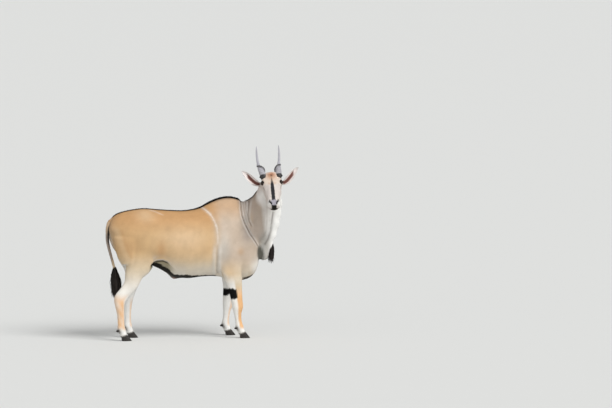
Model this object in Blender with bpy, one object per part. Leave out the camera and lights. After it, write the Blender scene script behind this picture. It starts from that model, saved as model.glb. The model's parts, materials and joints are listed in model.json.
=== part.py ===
"""A common eland bull, life size, standing with its head turned to look over its right side.

Metres, +Z up. The body points along +X and its left side is +Y. The floor is z = 0, and the
origin lies under the middle of the model's box. The body is built whole, from lofted forms
fused into one skin, shaped further in code, and then parted into nodes by thin flat cuts.
"""

import math

import bmesh
import bpy
import numpy as np
from mathutils import Matrix, Vector

# Sizes of the whole animal.
GAP = 0.0003
CLAY_VOXEL = 0.009
RING = 60

# The trunk: x, top of the back, underside, half width, height of the widest level, squareness.
TRUNK = [
    (-0.800, 1.200, 1.060, 0.050, 1.130, 2.0),
    (-0.775, 1.275, 0.960, 0.130, 1.120, 2.0),
    (-0.700, 1.335, 0.880, 0.180, 1.100, 2.1),
    (-0.570, 1.368, 0.850, 0.212, 1.080, 2.2),
    (-0.420, 1.384, 0.815, 0.235, 1.060, 2.2),
    (-0.260, 1.370, 0.748, 0.262, 1.030, 2.2),
    (-0.100, 1.357, 0.664, 0.290, 0.990, 2.2),
    (0.050, 1.355, 0.636, 0.300, 0.965, 2.2),
    (0.190, 1.382, 0.648, 0.292, 0.960, 2.1),
    (0.330, 1.452, 0.652, 0.262, 0.950, 1.9),
    (0.450, 1.490, 0.635, 0.228, 0.930, 1.75),
    (0.560, 1.488, 0.612, 0.205, 0.910, 1.75),
    (0.660, 1.440, 0.602, 0.180, 0.900, 1.8),
    (0.750, 1.330, 0.634, 0.148, 0.890, 1.9),
    (0.812, 1.150, 0.708, 0.100, 0.890, 2.0),
    (0.838, 1.000, 0.800, 0.045, 0.890, 2.0),
]

# The neck, from the shoulders to the poll: the crest point, the throat point, half width.
NECK = [
    ((0.500, 0.000, 1.440), (0.600, 0.000, 0.800), 0.160),
    ((0.680, 0.000, 1.445), (0.780, 0.000, 0.930), 0.155),
    ((0.755, -0.030, 1.485), (0.880, -0.030, 1.030), 0.145),
    ((0.795, -0.070, 1.545), (0.955, -0.070, 1.170), 0.132),
    ((0.822, -0.120, 1.625), (0.995, -0.100, 1.320), 0.122),
    ((0.860, -0.180, 1.700), (1.020, -0.130, 1.450), 0.112),
    ((0.905, -0.240, 1.735), (1.015, -0.170, 1.560), 0.095),
]

# The dewlap hangs from the throat line: its lower edge, from the brisket to the throat.
DEWLAP_EDGE = [
    (0.800, 0.000, 0.850),
    (0.855, -0.020, 0.815),
    (0.915, -0.045, 0.815),
    (0.958, -0.060, 0.890),
    (0.985, -0.075, 1.000),
    (1.030, -0.090, 1.130),
    (1.062, -0.105, 1.300),
    (1.070, -0.130, 1.450),
    (1.050, -0.160, 1.555),
]
DEWLAP_EDGE_THICK = 0.024
DEWLAP_ROOT_THICK = 0.080

# Legs, from the top down: x, y, z, front-to-back size, side-to-side size. Right is the near side.
FORELEG_RIGHT = [
    (0.455, -0.105, 1.050, 0.220, 0.100),
    (0.475, -0.135, 0.930, 0.250, 0.125),
    (0.495, -0.148, 0.820, 0.245, 0.130),
    (0.512, -0.152, 0.700, 0.212, 0.125),
    (0.530, -0.155, 0.610, 0.184, 0.114),
    (0.548, -0.158, 0.510, 0.150, 0.096),
    (0.558, -0.160, 0.430, 0.132, 0.088),
    (0.566, -0.162, 0.370, 0.124, 0.092),
    (0.570, -0.163, 0.320, 0.116, 0.090),
    (0.570, -0.164, 0.270, 0.086, 0.070),
    (0.576, -0.165, 0.200, 0.072, 0.056),
    (0.584, -0.166, 0.150, 0.076, 0.062),
    (0.590, -0.167, 0.115, 0.088, 0.076),
    (0.610, -0.168, 0.070, 0.074, 0.076),
    (0.624, -0.168, 0.038, 0.080, 0.082),
    (0.634, -0.168, 0.010, 0.080, 0.082),
]
FORELEG_LEFT = [
    (0.455, 0.105, 1.050, 0.220, 0.100),
    (0.490, 0.135, 0.930, 0.250, 0.125),
    (0.520, 0.148, 0.820, 0.245, 0.130),
    (0.545, 0.152, 0.700, 0.206, 0.125),
    (0.556, 0.154, 0.610, 0.172, 0.112),
    (0.552, 0.155, 0.510, 0.140, 0.096),
    (0.543, 0.156, 0.430, 0.124, 0.088),
    (0.538, 0.157, 0.370, 0.116, 0.090),
    (0.534, 0.158, 0.320, 0.108, 0.088),
    (0.525, 0.158, 0.270, 0.084, 0.070),
    (0.518, 0.158, 0.200, 0.072, 0.056),
    (0.512, 0.158, 0.150, 0.076, 0.062),
    (0.510, 0.158, 0.115, 0.088, 0.076),
    (0.527, 0.158, 0.070, 0.074, 0.076),
    (0.540, 0.158, 0.038, 0.080, 0.082),
    (0.550, 0.158, 0.010, 0.080, 0.082),
]
HINDLEG_RIGHT = [
    (-0.570, -0.120, 1.080, 0.430, 0.170),
    (-0.570, -0.132, 0.980, 0.425, 0.170),
    (-0.535, -0.140, 0.900, 0.396, 0.165),
    (-0.512, -0.145, 0.800, 0.335, 0.150),
    (-0.547, -0.150, 0.700, 0.208, 0.125),
    (-0.580, -0.152, 0.600, 0.158, 0.100),
    (-0.642, -0.154, 0.520, 0.134, 0.084),
    (-0.698, -0.156, 0.450, 0.132, 0.080),
    (-0.704, -0.157, 0.390, 0.110, 0.077),
    (-0.698, -0.158, 0.320, 0.086, 0.066),
    (-0.692, -0.158, 0.240, 0.075, 0.058),
    (-0.689, -0.158, 0.170, 0.075, 0.060),
    (-0.686, -0.158, 0.120, 0.088, 0.074),
    (-0.668, -0.158, 0.072, 0.074, 0.074),
    (-0.655, -0.158, 0.038, 0.080, 0.080),
    (-0.645, -0.158, 0.010, 0.080, 0.080),
]
HINDLEG_LEFT = [
    (-0.540, 0.120, 1.080, 0.430, 0.170),
    (-0.520, 0.132, 0.980, 0.425, 0.170),
    (-0.500, 0.140, 0.900, 0.385, 0.165),
    (-0.482, 0.145, 0.800, 0.315, 0.150),
    (-0.484, 0.148, 0.700, 0.215, 0.125),
    (-0.503, 0.150, 0.600, 0.160, 0.100),
    (-0.527, 0.151, 0.520, 0.132, 0.084),
    (-0.552, 0.152, 0.450, 0.130, 0.080),
    (-0.557, 0.152, 0.390, 0.110, 0.077),
    (-0.557, 0.152, 0.320, 0.084, 0.066),
    (-0.557, 0.152, 0.240, 0.074, 0.058),
    (-0.556, 0.152, 0.170, 0.075, 0.060),
    (-0.554, 0.152, 0.120, 0.088, 0.074),
    (-0.537, 0.152, 0.072, 0.074, 0.074),
    (-0.524, 0.152, 0.038, 0.080, 0.080),
    (-0.514, 0.152, 0.010, 0.080, 0.080),
]
LEGS = {
    "foreleg_right": FORELEG_RIGHT,
    "foreleg_left": FORELEG_LEFT,
    "hindleg_right": HINDLEG_RIGHT,
    "hindleg_left": HINDLEG_LEFT,
}

# Where the tops of the legs melt into the trunk.
LEG_TOPS = [(0.47, -0.22, 0.86), (0.48, 0.22, 0.86), (-0.50, -0.20, 0.93), (-0.46, 0.20, 0.93)]
LEG_TOP_REACH = 0.15
LEG_TOP_ROUNDS = 70

# Hooves: the middle of each foot where it meets the floor.
FEET = {
    "foreleg_right": (0.636, -0.168),
    "foreleg_left": (0.552, 0.158),
    "hindleg_right": (-0.643, -0.158),
    "hindleg_left": (-0.512, 0.152),
}
CORONET_HEIGHT = 0.052
CORONET_RISE = 0.26
CLEFT = 0.002
HOOF_RING = 12
DEWCLAW = (-0.094, 0.021, 0.108)
DEWCLAW_LENGTH = 0.028
DEWCLAW_RADIUS = 0.0100

# Muscle, bone and hollow forms of one side, as swellings of the skin: centre, reach along x, y, z,
# turn about Y in degrees, height. The other side has them with y reversed.
FORE_SWELLS = [
    ((0.500, 0.190, 1.220), (0.090, 0.120, 0.200), 20.0, 0.024),
    ((0.410, 0.220, 1.000), (0.110, 0.100, 0.120), -30.0, 0.018),
    ((0.690, 0.150, 0.990), (0.080, 0.100, 0.100), 0.0, 0.022),
    ((0.425, 0.190, 0.700), (0.040, 0.060, 0.060), 0.0, 0.014),
    ((0.275, 0.260, 1.020), (0.040, 0.120, 0.240), 8.0, -0.014),
    ((0.590, 0.190, 1.080), (0.030, 0.100, 0.120), 25.0, -0.010),
    ((0.330, 0.240, 1.290), (0.090, 0.100, 0.080), 30.0, 0.010),
]
HIND_SWELLS = [
    ((-0.550, 0.180, 1.200), (0.150, 0.120, 0.130), 0.0, 0.016),
    ((-0.640, 0.190, 1.000), (0.100, 0.100, 0.180), 5.0, 0.016),
    ((-0.450, 0.210, 0.980), (0.090, 0.100, 0.160), -15.0, 0.014),
    ((-0.375, 0.200, 1.280), (0.075, 0.070, 0.055), 0.0, 0.014),
    ((-0.250, 0.260, 1.170), (0.090, 0.120, 0.100), 0.0, -0.018),
    ((-0.390, 0.210, 0.850), (0.060, 0.080, 0.080), 0.0, 0.012),
    ((-0.560, 0.220, 0.900), (0.030, 0.100, 0.150), 8.0, -0.007),
    ((-0.770, 0.090, 1.180), (0.050, 0.045, 0.050), 0.0, 0.012),
]
MIDDLE_SWELLS = [
    ((-0.800, 0.000, 1.120), (0.070, 0.035, 0.160), 0.0, -0.035),
    ((0.150, 0.000, 1.400), (0.500, 0.030, 0.100), 0.0, 0.006),
    ((-0.090, 0.000, 0.655), (0.060, 0.035, 0.050), 0.0, 0.028),
]

# The head, in its own axes: x from the crown to the nose along the face, y left, z out of the
# forehead. Stations: x, top, underside, half width, level of the widest point, squareness.
HEAD = [
    (-0.068, -0.060, -0.105, 0.035, -0.082, 2.0),
    (-0.050, -0.022, -0.155, 0.080, -0.085, 2.1),
    (-0.015, -0.004, -0.196, 0.098, -0.080, 2.2),
    (0.030, 0.000, -0.214, 0.104, -0.070, 2.3),
    (0.080, 0.001, -0.218, 0.104, -0.062, 2.3),
    (0.130, 0.000, -0.208, 0.095, -0.070, 2.3),
    (0.185, -0.003, -0.186, 0.086, -0.078, 2.2),
    (0.235, -0.006, -0.162, 0.077, -0.078, 2.2),
    (0.285, -0.008, -0.146, 0.071, -0.078, 2.3),
    (0.325, -0.010, -0.140, 0.068, -0.070, 2.4),
    (0.352, -0.014, -0.131, 0.062, -0.066, 2.4),
    (0.371, -0.024, -0.115, 0.050, -0.064, 2.3),
    (0.381, -0.044, -0.095, 0.030, -0.066, 2.2),
]
CROWN = (0.910, -0.280, 1.742)
HEAD_YAW = -100.0
HEAD_PITCH = 56.0
HEAD_ROLL = 3.6

# Fine forms of the left half of the head, as swellings: centre, reach, turn about Y, height.
HEAD_SWELLS = [
    ((0.070, 0.100, -0.040), (0.036, 0.040, 0.036), 0.0, 0.016),
    ((0.048, 0.085, -0.012), (0.030, 0.035, 0.025), 0.0, 0.008),
    ((0.010, 0.100, -0.060), (0.035, 0.030, 0.035), 0.0, -0.008),
    ((0.050, 0.095, -0.150), (0.055, 0.050, 0.045), 25.0, 0.010),
    ((0.155, 0.060, -0.020), (0.045, 0.030, 0.025), 0.0, -0.006),
    ((0.190, 0.085, -0.125), (0.060, 0.040, 0.025), 0.0, -0.007),
    ((0.110, 0.030, -0.215), (0.070, 0.030, 0.030), 0.0, -0.004),
    ((0.300, 0.055, -0.030), (0.030, 0.025, 0.030), 0.0, 0.006),
    ((0.340, 0.045, -0.070), (0.030, 0.030, 0.020), 0.0, 0.004),
    ((0.046, 0.104, -0.110), (0.028, 0.030, 0.028), 0.0, 0.016),
]
HEAD_MIDDLE_SWELLS = [
    ((0.060, 0.000, 0.000), (0.040, 0.030, 0.030), 0.0, -0.004),
    ((-0.020, 0.000, 0.000), (0.035, 0.060, 0.035), 0.0, -0.005),
    ((0.225, 0.000, -0.005), (0.060, 0.028, 0.020), 0.0, 0.005),
    ((0.350, 0.000, -0.128), (0.025, 0.030, 0.025), 0.0, 0.005),
]
EYE = (0.074, 0.091, -0.040)
EYE_RADIUS = 0.0210
EYE_OUT = (0.22, 0.84, 0.50)
EYE_LONG = (0.93, -0.26, 0.20)
LID = 0.0040
NOSTRIL = [
    (0.302, 0.042, -0.030),
    (0.317, 0.041, -0.020),
    (0.332, 0.034, -0.018),
    (0.344, 0.026, -0.026),
]
MOUTH = [
    (0.262, 0.084, -0.103),
    (0.300, 0.074, -0.093),
    (0.332, 0.066, -0.081),
    (0.358, 0.050, -0.070),
    (0.376, 0.024, -0.063),
    (0.382, 0.000, -0.061),
]
# Reach and height or depth of the nostril's rim, its hole, the lips and the slit between them.
NOSTRIL_RIM = (0.014, 0.0045)
NOSTRIL_HOLE = (0.0064, 0.015)
LIPS = (0.013, 0.0030)
MOUTH_SLIT = (0.0043, 0.0100)
TEAR_LINE = [(0.098, 0.092, -0.048), (0.125, 0.088, -0.052), (0.150, 0.084, -0.056)]
CHEEK_RIDGE = [(0.110, 0.096, -0.090), (0.160, 0.090, -0.094), (0.205, 0.084, -0.096)]

# The left horn in the head's axes: place on its axis, radius, and how far the keel stands out.
HORN = [
    ((0.030, 0.072, -0.040), 0.0320, 0.000),
    ((-0.008, 0.080, -0.042), 0.0350, 0.008),
    ((-0.045, 0.086, -0.045), 0.0330, 0.014),
    ((-0.085, 0.093, -0.053), 0.0285, 0.016),
    ((-0.125, 0.100, -0.065), 0.0240, 0.017),
    ((-0.165, 0.107, -0.079), 0.0170, 0.006),
    ((-0.205, 0.112, -0.092), 0.0135, 0.000),
    ((-0.270, 0.117, -0.111), 0.0118, 0.000),
    ((-0.345, 0.120, -0.131), 0.0098, 0.000),
    ((-0.415, 0.119, -0.147), 0.0064, 0.000),
    ((-0.450, 0.117, -0.154), 0.0020, 0.000),
]
HORN_LEAN = -0.012
HORN_RING = 11
HORN_ROWS = 27
HORN_TURNS = 1.25
HORN_KEELED = 0.50

# The left ear in the head's axes: place on its middle, half width, half angle of the cup, thickness.
EAR = [
    ((0.052, 0.074, -0.100), 0.0170, 2.55, 0.0060),
    ((0.048, 0.105, -0.108), 0.0200, 2.45, 0.0060),
    ((0.038, 0.140, -0.115), 0.0250, 2.12, 0.0055),
    ((0.012, 0.175, -0.117), 0.0345, 1.70, 0.0050),
    ((-0.030, 0.213, -0.114), 0.0375, 1.45, 0.0045),
    ((-0.075, 0.250, -0.109), 0.0320, 1.25, 0.0040),
    ((-0.108, 0.280, -0.104), 0.0200, 1.10, 0.0032),
    ((-0.128, 0.300, -0.100), 0.0035, 1.00, 0.0020),
]
EAR_FACING = (0.25, 0.22, 0.94)
EAR_FOOT = (0.0465, 0.112, -0.109)
EAR_FOOT_NORMAL = (-0.20, 0.96, -0.12)
EAR_ARC = 7
EAR_ROWS = 11

# The tail: place on its axis, radius.
TAIL = [
    ((-0.735, 0.000, 1.270), 0.0270),
    ((-0.775, 0.000, 1.245), 0.0270),
    ((-0.795, 0.000, 1.195), 0.0240),
    ((-0.802, 0.000, 1.130), 0.0210),
    ((-0.802, 0.000, 1.050), 0.0185),
    ((-0.788, 0.000, 0.975), 0.0165),
    ((-0.766, 0.000, 0.890), 0.0150),
    ((-0.742, 0.000, 0.810), 0.0135),
    ((-0.723, 0.000, 0.740), 0.0130),
]
TAIL_TUFT_CORE = [
    ((-0.728, 0.000, 0.775), 0.0040),
    ((-0.721, 0.000, 0.725), 0.0190),
    ((-0.717, 0.000, 0.670), 0.0260),
    ((-0.718, 0.000, 0.610), 0.0220),
    ((-0.720, 0.000, 0.565), 0.0060),
]
TAIL_TUFT_LOCKS = [
    (0.25, 5, 0.200, 0.050, 0.80),
    (0.50, 5, 0.200, 0.054, 1.05),
    (0.75, 4, 0.170, 0.050, 0.90),
]
DEWLAP_TUFT_CORE = [
    ((0.976, -0.069, 1.010), 0.0060),
    ((0.976, -0.067, 0.965), 0.0180),
    ((0.968, -0.065, 0.915), 0.0210),
    ((0.961, -0.064, 0.875), 0.0060),
]
DEWLAP_TUFT_LOCKS = [
    (0.30, 4, 0.130, 0.038, 0.90),
    (0.75, 4, 0.125, 0.038, 1.00),
]
LOCK_ROWS = 5

# Where the body is parted: a point on each cut, the way across it, and its half sizes.
CUTS = {
    "neck": ((0.745, 0.000, 1.130), (0.960, 0.000, 0.280), (0.42, 0.30)),
    "head": ((0.955, -0.127, 1.594), (-0.050, -0.820, 0.570), (0.26, 0.30)),
    "forelegs": ((0.520, 0.000, 0.590), (0.000, 0.000, 1.000), (0.24, 0.30)),
    "hindlegs": ((-0.600, 0.000, 0.725), (0.000, 0.000, 1.000), (0.30, 0.30)),
}
# A point near the middle of each part of the body, to know it by.
MIDDLES = {
    "torso": (-0.050, 0.000, 1.030),
    "neck": (0.860, -0.060, 1.280),
    "head": (0.930, -0.350, 1.600),
    "foreleg_right": (0.560, -0.160, 0.320),
    "foreleg_left": (0.530, 0.160, 0.320),
    "hindleg_right": (-0.640, -0.150, 0.380),
    "hindleg_left": (-0.500, 0.150, 0.380),
}
BODY_FACES = 4520
HEAD_FACES = 3000

# Surface of each node: red, green, blue, roughness.
COAT = (0.600, 0.400, 0.235, 0.75)
GREY_COAT = (0.520, 0.420, 0.330, 0.75)
FACE_COAT = (0.560, 0.440, 0.330, 0.75)
PALE_COAT = (0.660, 0.560, 0.450, 0.75)
HORN_COLOUR = (0.190, 0.170, 0.180, 0.45)
HOOF_COLOUR = (0.060, 0.050, 0.045, 0.50)
EYE_COLOUR = (0.015, 0.010, 0.008, 0.12)
TUFT_COLOUR = (0.018, 0.015, 0.014, 0.70)


def eased_rows(rows, count):
    """count rows read from a smooth curve through the given rows."""
    rows = np.array(rows, float)
    place = np.linspace(0, len(rows) - 1, count)
    first = np.clip(place.astype(int), 0, len(rows) - 2)
    share = (place - first)[:, None]
    padded = np.vstack([2 * rows[0] - rows[1], rows, 2 * rows[-1] - rows[-2]])
    before, start, end, after = (padded[first + step] for step in range(4))
    return 0.5 * (
        2 * start
        + (end - before) * share
        + (2 * before - 5 * start + 4 * end - after) * share**2
        + (3 * start - before - 3 * end + after) * share**3
    )


def unit(vector):
    vector = np.asarray(vector, float)
    return vector / np.linalg.norm(vector)


def section(centre, across, up, half_width, above, below, squareness=2.0, count=RING):
    """A closed ring of points: an ellipse, squarer with a higher squareness, flatter below or above."""
    angle = np.linspace(0, 2 * math.pi, count, endpoint=False)
    side = np.sign(np.cos(angle)) * np.abs(np.cos(angle)) ** (2 / squareness)
    lift = np.sign(np.sin(angle)) * np.abs(np.sin(angle)) ** (2 / squareness)
    height = np.where(lift >= 0, above, below) * lift
    return np.asarray(centre) + np.outer(side * half_width, across) + np.outer(height, up)


def upright_section(x, top, bottom, half_width, widest, squareness):
    """A section across X, by its top and bottom heights and the height of its widest level."""
    heights = (top - widest, widest - bottom)
    return section((x, 0, widest), (0, 1, 0), (0, 0, 1), half_width, *heights, squareness)


def mesh_object(name, points, faces):
    mesh = bpy.data.meshes.new(name)
    mesh.from_pydata([tuple(p) for p in points], [], faces)
    obj = bpy.data.objects.new(name, mesh)
    bpy.context.scene.collection.objects.link(obj)
    return obj


def loft(name, rings, winding=-1):
    """A closed tube through rings of equal length, capped at both ends; its diagonals lean as it winds."""
    count = len(rings[0])
    points = np.vstack(rings)
    faces = [tuple(range(count))[::-1], tuple(range(len(points) - count, len(points)))]
    for ring in range(len(rings) - 1):
        for k in range(count):
            a, b = ring * count + k, ring * count + (k + 1) % count
            if winding > 0:
                faces += [(a, b, a + count), (b, b + count, a + count)]
            else:
                faces += [(a, b, b + count), (a, b + count, a + count)]
    obj = mesh_object(name, points, faces)
    face_outward(obj)
    return obj


def face_outward(obj):
    work = bmesh.new()
    work.from_mesh(obj.data)
    bmesh.ops.recalc_face_normals(work, faces=work.faces)
    work.to_mesh(obj.data)
    work.free()


def tapered_path(name, stations, count, squareness=2.1):
    """A limb: stations give x, y, z, front-to-back size and side-to-side size."""
    rows = eased_rows(stations, count)
    heading = np.gradient(rows[:, :3], axis=0)
    rings = []
    for row, direction in zip(rows, heading):
        along = unit(direction)
        fore = unit(np.cross((0, 1, 0), along))
        side = np.cross(along, fore)
        rings.append(section(row[:3], side, fore, row[4] / 2, row[3] / 2, row[3] / 2, squareness))
    return loft(name, rings)


def ball(name, centre, radius, columns, rows):
    work = bmesh.new()
    bmesh.ops.create_uvsphere(work, u_segments=columns, v_segments=rows, radius=radius)
    mesh = bpy.data.meshes.new(name)
    work.to_mesh(mesh)
    work.free()
    mesh.transform(Matrix.Translation(centre))
    obj = bpy.data.objects.new(name, mesh)
    bpy.context.scene.collection.objects.link(obj)
    return obj


def head_matrix():
    """The head's own axes in the model, turned by HEAD_YAW, nodding by HEAD_PITCH, leaning by HEAD_ROLL."""
    yaw = Matrix.Rotation(math.radians(HEAD_YAW), 4, "Z")
    roll = Matrix.Rotation(math.radians(HEAD_ROLL), 4, "X")
    pitch = Matrix.Rotation(math.radians(HEAD_PITCH), 4, "Y")
    return Matrix.Translation(CROWN) @ yaw @ roll @ pitch


def trunk():
    return loft("trunk", [upright_section(*row) for row in eased_rows(TRUNK, 80)])


def neck_rows(count):
    flat = [(*crest, *throat, half_width) for crest, throat, half_width in NECK]
    return eased_rows(flat, count)


def neck():
    rows = neck_rows(30)
    crest, throat = rows[:, :3], rows[:, 3:6]
    middle = (crest + throat) / 2
    heading = np.gradient(middle, axis=0)
    rings = []
    for k in range(len(rows)):
        up = crest[k] - throat[k]
        across = unit(np.cross(unit(up), heading[k]))
        depth = np.linalg.norm(up) / 2
        rings.append(section(middle[k], across, unit(up), rows[k, 6], depth, depth, 1.9))
    return loft("neck", rings)


def dewlap():
    """A fold of skin from inside the throat to its free lower edge, thin at the edge."""
    count = 26
    edge = eased_rows(DEWLAP_EDGE, count)
    throat = neck_rows(count)
    root = throat[:, 3:6] * 0.72 + throat[:, :3] * 0.28
    heading = np.gradient(edge, axis=0)
    rings = []
    for k in range(count):
        down = unit(edge[k] - root[k])
        across = unit(np.cross(down, unit(heading[k])))
        profile = []
        for share in (0.0, 0.35, 0.6, 0.8, 0.93, 1.0):
            thick = DEWLAP_ROOT_THICK * (1 - share) ** 1.2 + DEWLAP_EDGE_THICK * share
            half = thick / 2 * (1.0 if share < 1 else 0.3)
            profile.append((root[k] + (edge[k] - root[k]) * share, half))
        near = [spot + across * half for spot, half in profile]
        far = [spot - across * half for spot, half in reversed(profile)]
        rings.append(np.array(near + far))
    return loft("dewlap", rings)


def head():
    frame = np.array(head_matrix())
    turn, place = frame[:3, :3], frame[:3, 3]
    rings = []
    for x, top, bottom, half_width, widest, squareness in eased_rows(HEAD, 36):
        ring = upright_section(x, top, bottom, half_width, widest, squareness)
        rings.append(ring @ turn.T + place)
    return loft("head", rings)


def evaluated(obj, name):
    """A new object with the mesh that obj's modifiers make. obj is removed."""
    graph = bpy.context.evaluated_depsgraph_get()
    mesh = bpy.data.meshes.new_from_object(obj.evaluated_get(graph))
    bpy.data.objects.remove(obj)
    made = bpy.data.objects.new(name, mesh)
    bpy.context.scene.collection.objects.link(made)
    return made


def joined(name, objects):
    """The objects as one mesh object, without fusing them."""
    work = bmesh.new()
    for obj in objects:
        obj.data.transform(obj.matrix_world)
        work.from_mesh(obj.data)
        bpy.data.objects.remove(obj)
    mesh = bpy.data.meshes.new(name)
    work.to_mesh(mesh)
    work.free()
    obj = bpy.data.objects.new(name, mesh)
    bpy.context.scene.collection.objects.link(obj)
    return obj


def fused(name, objects, voxel):
    """One closed skin over overlapping closed forms."""
    obj = joined(name, objects)
    remesh = obj.modifiers.new("remesh", "REMESH")
    remesh.mode = "VOXEL"
    remesh.voxel_size = voxel
    remesh.adaptivity = 0.0
    return evaluated(obj, name)


def read_points(mesh):
    points = np.empty(len(mesh.vertices) * 3, np.float64)
    mesh.vertices.foreach_get("co", points)
    return points.reshape(-1, 3)


def write_points(mesh, points):
    mesh.vertices.foreach_set("co", points.ravel())
    mesh.update()


def read_normals(mesh):
    normals = np.empty(len(mesh.vertices) * 3, np.float32)
    mesh.vertex_normals.foreach_get("vector", normals)
    return normals.reshape(-1, 3).astype(float)


def relax(mesh, rounds, share=None, push=0.52):
    """Smooths the mesh, by share per vertex: each round pulls in and pushes back, to keep the volume."""
    edges = np.empty(len(mesh.edges) * 2, np.int64)
    mesh.edges.foreach_get("vertices", edges)
    first, second = edges.reshape(-1, 2).T
    points = read_points(mesh)
    count = len(points)
    degree = np.bincount(first, minlength=count) + np.bincount(second, minlength=count)
    weight = np.ones(count) if share is None else share
    for step in range(rounds * 2):
        total = np.stack(
            [
                np.bincount(first, weights=points[second, axis], minlength=count)
                + np.bincount(second, weights=points[first, axis], minlength=count)
                for axis in range(3)
            ],
            axis=1,
        )
        pull = 0.5 if step % 2 == 0 else -push
        points += (total / degree[:, None] - points) * (pull * weight)[:, None]
    write_points(mesh, points)


def swell(points, normals, centre, reach, turn_y, height):
    """Raises the points near centre along their normals, fading out with distance."""
    angle = math.radians(turn_y)
    offset = points - centre
    along_x = offset[:, 0] * math.cos(angle) - offset[:, 2] * math.sin(angle)
    along_z = offset[:, 0] * math.sin(angle) + offset[:, 2] * math.cos(angle)
    far = (along_x / reach[0]) ** 2 + (offset[:, 1] / reach[1]) ** 2 + (along_z / reach[2]) ** 2
    points += normals * (height * np.exp(-far))[:, None]


def distance_to_path(points, path):
    path = np.asarray(path, float)
    nearest = np.full(len(points), np.inf)
    for start, end in zip(path[:-1], path[1:]):
        leg = end - start
        share = np.clip((points - start) @ leg / (leg @ leg), 0, 1)
        nearest = np.minimum(nearest, np.linalg.norm(points - start - share[:, None] * leg, axis=1))
    return nearest


def crease(points, normals, path, width, depth):
    """Sinks the skin along a path; a negative depth raises a ridge."""
    near = np.exp(-((distance_to_path(points, path) / width) ** 2))
    points -= normals * (depth * near)[:, None]


def both_sides(swells):
    for (x, y, z), reach, turn, height in swells:
        for side in (1, -1):
            yield (x, y * side, z), reach, turn, height


def body_swells(mesh):
    points, normals = read_points(mesh), read_normals(mesh)
    for form in [*both_sides(FORE_SWELLS), *both_sides(HIND_SWELLS), *MIDDLE_SWELLS]:
        swell(points, normals, *form)
    write_points(mesh, points)


def clay():
    """The whole body as one smooth skin, before its fine forms."""
    forms = [trunk(), neck(), dewlap(), head()]
    forms += [tapered_path(name, stations, 50) for name, stations in LEGS.items()]
    body = fused("body", forms, CLAY_VOXEL)
    relax(body.data, 30)
    points = read_points(body.data)
    share = np.zeros(len(points))
    for centre in LEG_TOPS:
        share = np.maximum(share, np.exp(-((np.linalg.norm(points - centre, axis=1) / LEG_TOP_REACH) ** 4)))
    relax(body.data, LEG_TOP_ROUNDS, share, push=0.0)
    body_swells(body.data)
    return body


def to_head(points):
    """The points in the head's own axes."""
    frame = np.array(head_matrix().inverted())
    return points @ frame[:3, :3].T + frame[:3, 3]


def from_head(points):
    frame = np.array(head_matrix())
    return points @ frame[:3, :3].T + frame[:3, 3]


def mirrored(path, side):
    return [(x, y * side, z) for x, y, z in path]


def laid_on(path, spots):
    """A smooth path through the points of the surface nearest to those of the given path."""
    found = [spots[np.argmin(np.linalg.norm(spots - place, axis=1))] for place in path]
    return eased_rows(found, 5 * len(path))


def refine(mesh, chosen):
    """Halves the edges among the chosen vertices and leaves only triangles."""
    work = bmesh.new()
    work.from_mesh(mesh)
    work.verts.ensure_lookup_table()
    edges = [edge for edge in work.edges if chosen[edge.verts[0].index] and chosen[edge.verts[1].index]]
    bmesh.ops.subdivide_edges(work, edges=edges, cuts=1, use_grid_fill=True)
    bmesh.ops.triangulate(work, faces=work.faces)
    work.to_mesh(mesh)
    work.free()


def in_head(spots):
    return (spots[:, 0] > -0.12) & (np.abs(spots[:, 1]) < 0.20) & (spots[:, 2] > -0.26)


def in_face_details(spots):
    near = np.zeros(len(spots), bool)
    for side in (1, -1):
        near |= np.linalg.norm(spots - (EYE[0], EYE[1] * side, EYE[2]), axis=1) < 0.045
        near |= distance_to_path(spots, mirrored(NOSTRIL, side)) < 0.022
        near |= distance_to_path(spots, mirrored(MOUTH, side)) < 0.020
    return near


def ramp(values, low, high):
    """0 below low, 1 above high, eased between."""
    share = np.clip((values - low) / (high - low), 0, 1)
    return share * share * (3 - 2 * share)


def open_eye(spots, side):
    """Draws the skin over the eyeball as two lids with an almond opening between them."""
    centre = np.array((EYE[0], EYE[1] * side, EYE[2]))
    out = unit((EYE_OUT[0], EYE_OUT[1] * side, EYE_OUT[2]))
    long = np.array((EYE_LONG[0], EYE_LONG[1] * side, EYE_LONG[2]))
    long = unit(long - out * (long @ out))
    rise = np.cross(long, out) * -side
    offset = spots - centre
    far = np.linalg.norm(offset, axis=1)
    way = offset / far[:, None]
    opening = np.hypot((way @ long) / 0.86, (way @ rise) / 0.52)
    lid = EYE_RADIUS + LID * (1.35 - 0.35 * ramp(opening, 1.0, 1.5))
    target = np.where(opening > 1.0, lid, EYE_RADIUS - 0.004)
    pull = (1 - ramp(far, EYE_RADIUS * 1.25, EYE_RADIUS * 2.0)) * ramp(way @ out, 0.0, 0.35)
    spots[:] = centre + way * (far * (1 - pull) + target * pull)[:, None]


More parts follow.
